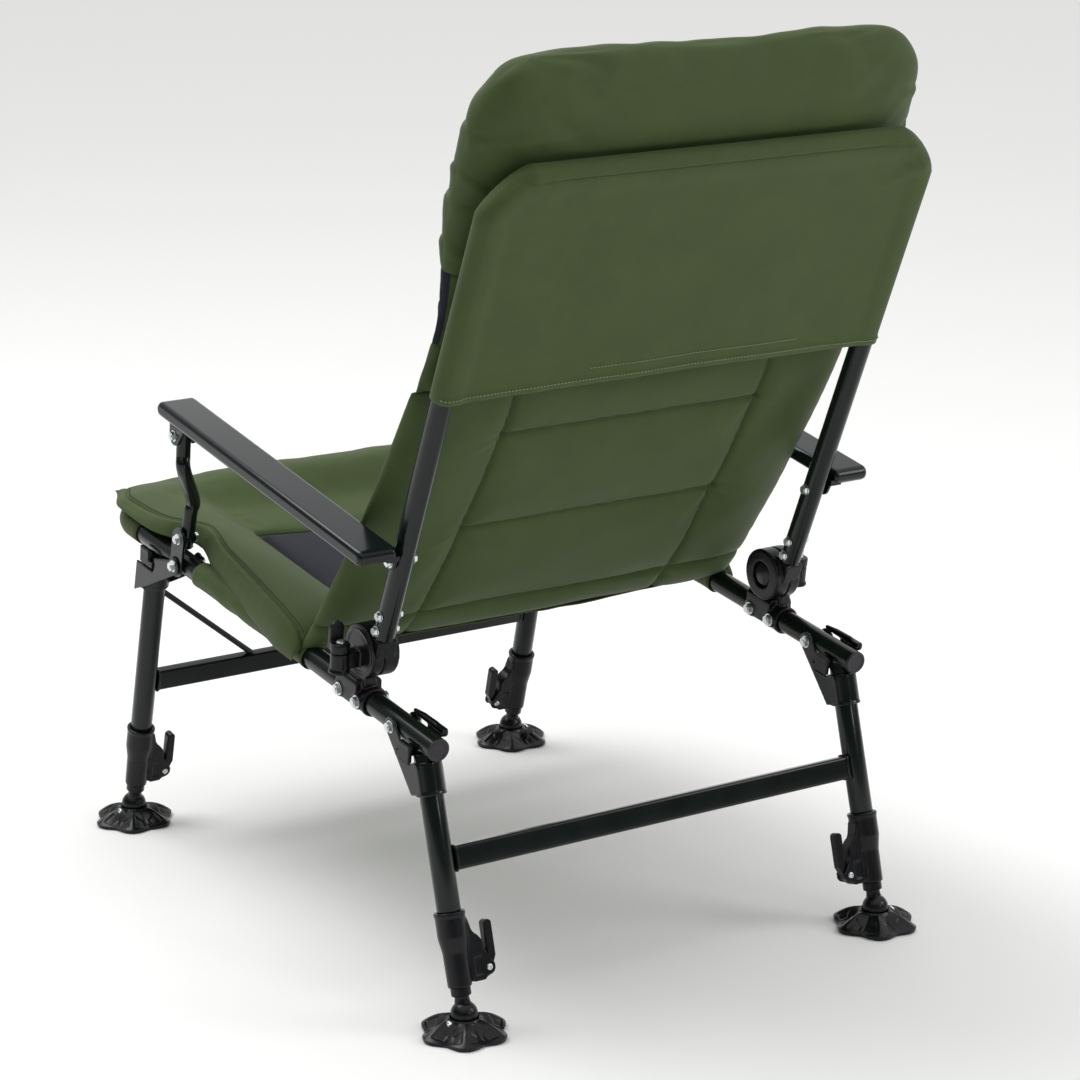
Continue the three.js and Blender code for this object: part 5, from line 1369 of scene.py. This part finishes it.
def makeSeatPad():
    p = seatPad
    long = p["rear"] - p["front"]
    rimSeam = 1 - p["seamIn"] / p["half"]
    us = stations([-1, -rimSeam, -p["mesh"] / p["half"], p["mesh"] / p["half"], rimSeam, 1], 0.028,
                  (0.0012, 0.004, 0.01, 0.02), seam=0.0075)
    vs = stations([0, (p["meshFront"] - p["front"]) / long, 1], 0.018, seam=0.005)

    def behindPost(along):
        return smoothStep((along - p["waistAt"]) / 70)

    # narrow beside the arm post, then wider in a straight line to the rear corner
    def pinch(along):
        away = along - p["waistAt"]
        return np.where(away < 0, valley(away, p["waistLong"]), np.clip(1 - away / 240, 0, 1))

    def base(U, V):
        along = p["front"] + long * V
        corner = p["corner"] * (1 - smoothStep((along - p["front"]) / p["roll"]))
        drawnIn = (p["half"] - p["waist"]) * pinch(along) * smoothStep((np.abs(U) - 0.6) / 0.35)
        x = U * (p["half"] - corner - drawnIn + p["flare"] * behindPost(along))
        behindBar = smoothStep((along - rails["frontBar"] - p["bar"] / 2) / p["bar"])
        lies = behindBar * (1 - smoothStep((np.abs(x) - p["lieTo"]) / (p["liftTo"] - p["lieTo"])))
        return x, along, p["over"] - (p["over"] - slingHeight(x, along) - sling["thick"] / 2 - 0.8) * lies

    def thickness(U, V):
        across, fromRow = np.abs(U), V * long + p["front"] - p["meshFront"]
        fromMesh = across * p["half"] - p["mesh"]
        side = smoothStep(2 * fromMesh / (p["half"] - p["mesh"]))
        front = 1 - smoothStep(V / 0.3)
        body = p["middle"] + (p["bolster"] - p["middle"]) * np.maximum(side, front)
        panel = valley(fromMesh, 6) * smoothStep((fromRow + 8) / 16)
        row = valley(fromRow, 6) * (across * p["half"] < p["mesh"] + 4)
        seam = 1 - 0.4 * np.maximum(panel, row)
        thin = 1 - smoothStep((V * long - 60) / 150)
        beyond = np.clip((across - rimSeam) / (1 - rimSeam), 0, 1)
        inside = 1 - 0.1 * crease((rimSeam - across) * p["half"], 9)
        boxed = np.where(across < rimSeam, inside, 0.92 * crown(beyond, 2.6))
        lens = boxed * (1 - thin) + (0.5 + 0.5 * crown(across, 5)) * crown(across, 12) * thin
        return body * (crown(2 * V - 1, 12) * (1 - thin) + crown(2 * V - 1, 6) * thin) * lens * seam

    def middle(U, V):
        x, along, low = base(U, V)
        behind = behindPost(along) * (1 - 0.7 * pinch(along))
        rim = p["rimUp"] * (1 - crown(U, 9) * crown(2 * V - 1, 8)) * (1 - behind)
        rim -= p["skirt"] * (1 - crown(U, 15)) * behind
        return np.stack([x, along, low + thickness(U, V) / 2 + rim], 2)

    def half(U, V):
        return thickness(U, V) / 2

    def held(U, V):
        along = p["front"] + long * V
        onPanel = np.isclose(np.abs(U) * p["half"], p["mesh"], atol=0.5) & (along > p["meshFront"] - 1)
        onRow = np.isclose(along, p["meshFront"], atol=0.5) & (np.abs(U) * p["half"] <= p["mesh"] + 1)
        return onPanel | onRow | (np.abs(U) > 0.985)

    def details(U, V, side):
        along, across = p["front"] + long * V, np.abs(U) * p["half"]
        rim = (1 - np.abs(U)) * p["half"]
        pucker = ripple(along * np.sign(U) + 900 * (U < 0), 15, 3) * (0.35 * valley(rim - p["seamIn"], 6)
                                                                      + 0.3 * valley(rim, 7))
        panel = ripple(along + 400 * np.sign(U), 22, 5) * 0.4 * valley(across - p["mesh"], 10)
        front = ripple(U * p["half"], 60, 7) * 0.6 * (1 - smoothStep(V / 0.16))
        slow = 0.7 * ripple(U * 180 + along * 0.7, 190, 9) + 0.5 * ripple(along - U * 120, 140, 11)
        rear = ripple(U * p["half"], 30, 13) * 0.6 * smoothStep((V - 0.9) / 0.1)
        groove = (-p["seamDeep"] * crease(rim - p["seamIn"], 1.4) + 1.4 * valley(rim - p["seamIn"] + 4, 3)
                  - p["meshDeep"] * crease(across - p["mesh"], 1.6) * (along > p["meshFront"])
                  - p["meshDeep"] * crease(along - p["meshFront"], 1.6) * (across < p["mesh"]))
        quietMesh = 1 - 0.6 * (across < p["mesh"]) * (along > p["meshFront"])
        folds = pucker + panel + front + rear + slow * quietMesh + groove
        return folds * (1 if side > 0 else 0.4) * crown(U, 30)

    grids, us, vs = padded(seatPlace, us, vs, middle, half, (0, 0, 1), held, details, cap=3.5,
                           pressure=2.5)
    across, along = np.meshgrid((us[1:] + us[:-1]) / 2 * p["half"],
                                p["front"] + long * (vs[1:] + vs[:-1]) / 2)
    onMesh = (np.abs(across) < p["mesh"]) & (along > p["meshFront"]) & (along < p["meshRear"])
    patch = onMesh.astype(int)
    piece = sewnMesh("seatPad", grids, seatPlace, ("cloth", "mesh"), [patch, 0 * patch])
    inner, edge = rimSeam - 4 / p["half"], (p["mesh"] + 3.5) / p["half"]
    start = (p["meshFront"] - 3.5 - p["front"]) / long
    ends = [((s * inner, 0.03), (s * inner, 0.98)) for s in (-1, 1)]
    ends += [((s * edge, start), (s * edge, 0.985)) for s in (-1, 1)]
    ends += [((-edge, start), (edge, start))]
    runs = [seamRun(grids[0], us, vs, first, last, seatPlace) for first, last in ends]
    # dark stitches: painted shade along the rim and mesh seams
    absorb(piece, makeStitches("seatStitches", runs, "dark", pitch=4.4, thread=0.8))
    settle(piece, "seat", "pad", "seat_pad")
    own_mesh(piece)


# Back cushion: one quilt from the crease of the seat up to the headrest
backPad = {"low": -74, "high": 311, "half": 279.2, "halfTop": 275, "thick": 34, "seamX": (-172, 155),
           "planeAt": 284, "planeBack": -22.5, "slope": 0.13, "bow": 21, "seams": (243, 106, -31),
           "seamDeep": 3.4}


def backPlane(up):
    p = backPad
    below = p["planeAt"] - up
    return p["planeBack"] - below * p["slope"] - p["bow"] * (below / p["high"]) ** 2


def makeBackPad():
    p = backPad
    long = p["high"] - p["low"]
    us = stations([-1, *[x / p["half"] for x in p["seamX"]], 1], 0.027, seam=0.008)
    vs = stations([0, *[(z - p["low"]) / long for z in p["seams"][::-1]], 1], 0.021, seam=0.006)

    def width(V):
        return p["half"] + (p["halfTop"] - p["half"]) * smoothStep(V)

    def middle(U, V):
        up = p["low"] + long * V
        return np.stack([U * width(V), backPlane(up), up], 2)

    def columns(x):
        return np.minimum(np.abs(x - p["seamX"][0]), np.abs(x - p["seamX"][1]))

    # the lowest seam runs from rim to rim, the others between the two long seams
    def inside(x, z, ease=3):
        if z <= 0:
            return 1
        left, right = x - p["seamX"][0] + ease, p["seamX"][1] - x + ease
        return smoothStep(left / ease) * smoothStep(right / ease)

    def seams(U, V, wide):
        x, up = U * p["half"], p["low"] + long * V
        rows = [valley(up - z, wide) * inside(x, z, 8) for z in p["seams"]]
        return np.maximum.reduce([valley(columns(x), wide), *rows])

    def half(U, V):
        return p["thick"] / 2 * crown(2 * V - 1, 12) * crown(U, 11) * (1 - 0.34 * seams(U, V, 7))

    def held(U, V):
        x, up = U * p["half"], p["low"] + long * V
        rows = np.any([np.isclose(up, z, atol=0.5) for z in p["seams"]], axis=0)
        return (columns(x) < 0.5) | (rows & (inside(x, 1, 1) > 0.5)) | (np.abs(U) > 0.99)

    def details(U, V, side):
        up, x = p["low"] + long * V, U * p["half"]
        rim = (1 - np.abs(U)) * p["half"]
        out = ripple(up + 700 * np.sign(U), 26, 21) * 0.35 * valley(columns(x), 9)
        out += ripple(up + 500 * np.sign(U), 20, 23) * 0.4 * valley(rim, 10)
        for k, z in enumerate(p["seams"]):
            pucker = ripple(x + 300 * k, 30, 31 + k) * 0.35 * valley(up - z, 9)
            out += (pucker - p["seamDeep"] * crease(up - z, 1.5)) * inside(x, z)
        out -= p["seamDeep"] * crease(columns(x), 1.5)
        for seam in p["seamX"]:
            way = np.sign(seam)
            for z in p["seams"][:2]:
                dx, dz = (x - seam) * way, up - z
                line, far = dz + 0.35 * dx, np.maximum(dx, 0)
                fold = valley(line, 4) * smoothStep((dx + 2) / 8) * np.exp(-far / 26)
                under = 1.6 * crease(line + 6, 2.5) * (dx > 0) * np.exp(-far / 30)
                out += -1.8 * valley(np.hypot(dx, dz), 6) + 1.8 * fold - under
        outer = smoothStep((columns(x) * ((x < p["seamX"][0]) | (x > p["seamX"][1])) - 6) / 20)
        out += outer * 1.2 * ripple(up * 0.8 + x * 0.9, 120, 47) * crown(U, 12)
        out += 0.55 * ripple(x * 0.5 + up, 170, 41) + 0.35 * ripple(x - up * 0.6, 120, 43)
        out += ripple(x, 38, 45) * 0.5 * valley((1 - V) * long, 14)
        return out * crown(U, 30) * crown(2 * V - 1, 40)

    grids, us, vs = padded(backPlace, us, vs, middle, half, (0, 1, 0), held, details, cap=4.5,
                           pressure=3.5)
    piece = sewnMesh("backPad", grids, backPlace, ("cloth",))
    columnEnds, runs = [x / p["half"] for x in p["seamX"]], []
    for grid, side in zip(grids, (-1, 1)):
        runs += [seamRun(grid, us, vs, (u, 0.01), (u, 0.99), backPlace, 0.35, side=side) for u in columnEnds]
        for z in p["seams"]:
            ends = columnEnds if z > 0 else (-0.985, 0.985)
            v = (z - p["low"]) / long
            runs.append(seamRun(grid, us, vs, (ends[0], v), (ends[1], v), backPlace, 0.35, side=side))
    # dark stitches: painted shade along the quilting seams
    absorb(piece, makeStitches("backStitches", runs, "dark", thread=0.5))
    insets = [s * (1 - inset / p["half"]) for s in (-1, 1) for inset in (12, 16)]
    edge = [seamRun(grids[1], us, vs, (u, 0.02), (u, 0.98), backPlace) for u in insets]
    absorb(piece, makeStitches("edgeStitches", edge))
    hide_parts("back_pad", "lumbar_pad")
    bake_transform(piece)


# Headrest: a thick roll, with spacer mesh low on the side of the sitter
headPad = {"low": 311.3, "high": 676, "half": 270, "corner": 75, "bulge": 78, "thin": 35, "out": -38.8,
           "meshLow": 374, "meshTop": 452, "cornerShare": 0.9, "swellTo": 520,
           "folds": ((420, 0.5, 50), (482, -0.3, 70), (522, 0.25, 110), (560, -0.55, 60), (600, 0.15, 80)),
           "coverFrom": 585, "clearLow": 2.0, "clearHigh": 4.5, "ease": 3}


def makeHeadrest():
    p = headPad
    long = p["high"] - p["low"]
    us = stations([-1, 1], 0.03)
    seamsAt = [(p[key] - p["low"]) / long for key in ("meshLow", "meshTop")]
    vs = stations([0, *seamsAt, 1], 0.02, seam=0.006)

    def swollen(V):
        return smoothStep((p["low"] + long * V - p["meshLow"]) / (p["swellTo"] - p["meshLow"]))

    def middle(U, V):
        up = p["low"] + long * V
        left = np.minimum(p["high"] - up, p["corner"])
        corner = p["corner"] - np.sqrt(np.maximum(0, p["corner"] ** 2 - (p["corner"] - left) ** 2))
        wave = 2.8 * ripple(U * p["half"], 330, 51) * smoothStep((V - 0.8) / 0.2)
        plane, x = backPlane(up), U * (p["half"] - corner * p["cornerShare"])
        return np.stack([x, plane + (p["out"] - plane) * swollen(V), up + wave * (1 - U * U) - 2 * V], 2)

    def half(U, V):
        body = p["thin"] + (p["bulge"] - p["thin"]) * swollen(V)
        return body / 2 * np.where(V > 0.5, crown(2 * V - 1, 7), crown(2 * V - 1, 20)) * crown(U, 8)

    def held(U, V):
        seams = [np.isclose(V, v, atol=0.002) for v in seamsAt]
        return seams[0] | seams[1] | (np.abs(U) > 0.995)

    def details(U, V, side):
        x, up = U * p["half"], p["low"] + long * V
        rim, top = (1 - np.abs(U)) * p["half"], (1 - V) * long
        out = ripple(up + 600 * np.sign(U), 62, 53) * 2.0 * valley(rim, 26)
        out += ripple(x, 90, 55) * 1.2 * valley(top, 26)
        out += 1.2 * ripple(x * 0.8 + up * 0.4, 210, 57) + 0.6 * ripple(x * 0.3 - up, 130, 59)
        for z, tilt, far in p["folds"]:
            for s in (-1, 1):
                line = up - z - 12 * (s < 0) - tilt * rim
                fold = 2.2 * valley(line + 6, 6) - 3.0 * crease(line, 2.4)
                out += fold * np.exp(-rim / far) * (U * s > 0)
        out -= 1.6 * crease(top - 26, 2.0) * crown(U, 8)
        seams = crease(up - p["meshTop"], 1.6) + crease(up - p["meshLow"], 1.6)
        out -= 3.0 * seams * ((side < 0) | (rim < 40))
        return out * crown(U, 40) * crown(2 * V - 1, 40)

    # keeps the back of the roll in front of the cover
    def limit(grid, side):
        if side > 0:
            ease = p["ease"]
            behind = np.where(grid[..., 2] < p["coverFrom"], p["clearLow"], p["clearHigh"])
            over = grid[..., 1] > behind - ease
            grid[..., 1] = np.where(over, behind - ease * np.exp(-(grid[..., 1] - behind + ease) / ease),
                                    grid[..., 1])

    grids, us, vs = padded(backPlace, us, vs, middle, half, (0, 1, 0), held, details, cap=8,
                           pressure=4.0, limit=limit)
    heights = p["low"] + long * (vs[1:] + vs[:-1]) / 2
    band = ((heights > p["meshLow"]) & (heights < p["meshTop"])).astype(int)
    onMesh = np.repeat(band[:, None], len(us) - 1, axis=1)
    byRim = (np.abs(us[1:] + us[:-1]) / 2 > 0.985).astype(int)[None, :]
    piece = sewnMesh("headrest", grids, backPlace, ("cloth", "mesh"), [onMesh * byRim, onMesh])
    v = (p["meshTop"] + 4 - p["low"]) / long
    absorb(piece, makeStitches("headStitches", [seamRun(grids[1], us, vs, (-0.98, v), (0.98, v), backPlace)]))
    settle(piece, "back", "pad", "headrest_pad")


# Cover: a pocket of single cloth drawn over the top of the back frame
cover = {"low": 327, "reach": 13.6, "over": 22, "cloth": 1.1, "corner": 52, "bluff": 1.35, "sag": 4, "hem": 9,
         "seam": 12, "patch": (346, -159, 98)}


def makeCover():
    c, b = cover, backTube
    edge, top, bluff = b["spread"] + c["reach"], b["top"] + c["over"], c["bluff"]
    turn, middleX = top - c["corner"], edge - c["corner"]
    us = stations([-1, -b["spread"] / edge, b["spread"] / edge, 1], 0.022,
                  (0.002, 0.006, 0.014, 0.026, 0.04, 0.055))
    zs = stations([c["low"], c["low"] + c["hem"], top - c["seam"], top], 6.5, (0.002, 0.008, 0.02, 0.04),
                  low=False, seam=1.5)
    U, Z = np.meshgrid(us, zs)
    over = np.clip(Z - turn, 0, c["corner"] - 0.001)
    X = U * np.where(Z > turn, middleX + (c["corner"] ** bluff - over ** bluff) ** (1 / bluff), edge)
    outward = (np.maximum(np.abs(X) - middleX, 0) ** bluff + np.maximum(Z - turn, 0) ** bluff) ** (1 / bluff)
    inCorner = (np.abs(X) > middleX) & (Z > turn)
    fromSide = np.where(inCorner, c["corner"] - outward, np.minimum(edge - np.abs(X), top - Z))
    d = np.clip(fromSide, 0, c["reach"])
    reach = np.sqrt(np.maximum(0, c["reach"] ** 2 - (c["reach"] - d) ** 2))
    slack = 0.55 * smoothStep((fromSide - 22) / 12) + 0.45 * smoothStep((fromSide - 22) / 80)
    bearing = np.degrees(np.arctan2(Z - turn + 20, np.abs(X) - middleX + 40))
    near = valley(np.hypot(np.abs(X) - middleX - 20, Z - turn - 20), 46)
    pleats = ripple(bearing + 200 * np.sign(X), 11, 71) * near * smoothStep(fromSide / 10)
    rear = b["behind"] + reach - c["sag"] * slack + 1.6 * np.abs(pleats)
    rear += (0.9 * ripple(X * 0.6 + Z, 150, 73) + 0.7 * ripple(X - 0.4 * Z, 230, 75)) * slack
    rear += 0.4 * ripple(X, 42, 77) * valley(Z - c["low"], 14)
    rear -= 1.8 * crease(top - Z - c["seam"], 1.8) * smoothStep((edge - np.abs(X) - 12) / 14)
    for angle in (30, 52, 70):
        rear += 2.6 * crease(bearing - angle - 4 * np.sign(X), 3.4) * near * smoothStep(fromSide / 8)
    hem = 1.2 * smoothStep((c["low"] + c["hem"] - Z) / 2)
    front = b["behind"] - reach + 0.8 * slack
    grids = [np.stack([X, rear + hem, Z], 2), np.stack([X, front, Z], 2)]
    sewn = rimOf(X.shape)
    sewn[0, 1:-1] = False
    grids[0][sewn, 1] = grids[1][sewn, 1] = b["behind"]
    piece = sewnMesh("backCover", grids, backPlace, ("cloth",))
    thicken(piece, c["cloth"], -1)
    settle(piece, "back", "cloth", "back_cover")

    def run(v, start, stop):
        return seamRun(grids[0], us, zs, (start, v), (stop, v), backPlace, 0.5, side=-1)

    height, left, right = c["patch"]
    runs = [run(c["low"] + 6, -0.985, 0.985), run(height, left / edge, right / edge)]
    settle(makeStitches("coverStitches", runs, pitch=4.2, thread=0.6), "back", "cloth")
    # dark stitches: painted shade along the top seam
    settle(makeStitches("coverTopStitches", [run(top - c["seam"], -0.8, 0.8)], "dark"), "back", "cloth")


# Sling: a sheet that sags between the rails, with sleeves sewn round them and round the front bar
def makeSling():
    s = {"radius": 13.3, "from": -180, "to": 67, "front": -318, "hem": 8, "startAt": 140, "narrow": 238,
         "narrowFrom": 200, "notchFront": -326, "notchRear": -176, "thick": 1.4}
    x = np.linspace(-sling["edge"], sling["edge"], 75)
    y = np.linspace(sling["front"], sling["rear"], 61)
    X, Y = np.meshgrid(x, y)
    notch = smoothStep((Y - s["notchFront"]) / 6) * smoothStep((s["notchRear"] - Y) / 6)
    outside = smoothStep((np.abs(X) - s["narrowFrom"]) / (sling["edge"] - s["narrowFrom"]))
    X = X * (1 - notch * (1 - s["narrow"] / sling["edge"]) * outside)
    Z = slingHeight(X, Y) + 0.8 * ripple(X + 0.3 * Y, 160, 81) * (1 - (X / sling["edge"]) ** 2)
    Z += 0.5 * ripple(X, 60, 83) * valley(sling["rear"] - Y, 18)
    grids = [np.stack([X, Y, Z], 2)]
    start = math.radians(s["startAt"])
    turns = np.linspace(start, start + 2 * math.pi, 45)
    for side in (1, -1):
        along = np.linspace(s["from"], s["to"], 60)
        A, L = np.meshgrid(turns, along)
        first, second = s["from"] + s["hem"] - L, L - s["to"] + s["hem"]
        hem = 0.5 * (smoothStep(first / 1.5) + smoothStep(second / 1.5))
        r = s["radius"] + hem + 0.35 * ripple(L + 20 * A, 60, 85 + side) + 0.25
        grids.append(np.stack([side * (rails["spread"] + r * np.cos(A)), L, r * np.sin(A)], 2))
    corner, turn = rails["spread"] - rails["bend"], rails["frontBar"] + rails["bend"]
    left = arc(corner, turn, rails["bend"], 0, -90, 12)
    path = np.array([(rails["spread"], s["front"]), (rails["spread"], s["front"] - 9), *left,
                     *[(-a, b) for a, b in left[::-1]], (-rails["spread"], s["front"] - 9),
                     (-rails["spread"], s["front"])])
    last = len(left) + 1
    fine = np.concatenate([path[:last], np.linspace(path[last], path[last + 1], 40), path[last + 2:]])
    out = np.gradient(fine, axis=0)
    out = np.stack([out[:, 1], -out[:, 0]], 1) / np.linalg.norm(out, axis=1)[:, None]
    turns = np.linspace(0, 2 * math.pi, 41)
    r = s["radius"] + 0.3 * ripple(np.arange(len(fine)) * 12.0, 60, 91)[:, None] + 0.3
    grids.append(np.stack([fine[:, :1] + out[:, :1] * r * np.cos(turns),
                           fine[:, 1:] + out[:, 1:] * r * np.cos(turns),
                           r * np.sin(turns) + 0 * fine[:, :1]], 2))
    piece = sewnMesh("seatSling", grids, seatPlace, ("cloth",), sewn=False)
    thicken(piece, s["thick"], 0)
    settle(piece, "seat", "cloth", "seat_sling")
makeSeatPad()
print("seat cushion ready")
makeBackPad()
print("back cushion ready")
makeHeadrest()
makeCover()
makeSling()
print("cloth ready")
makeSeatFrame()
makeLegs()
makeFeet()
makeLatches()
makeHubs()
makeBackFrame()
makeArms()
makeCamera()
makeStage()
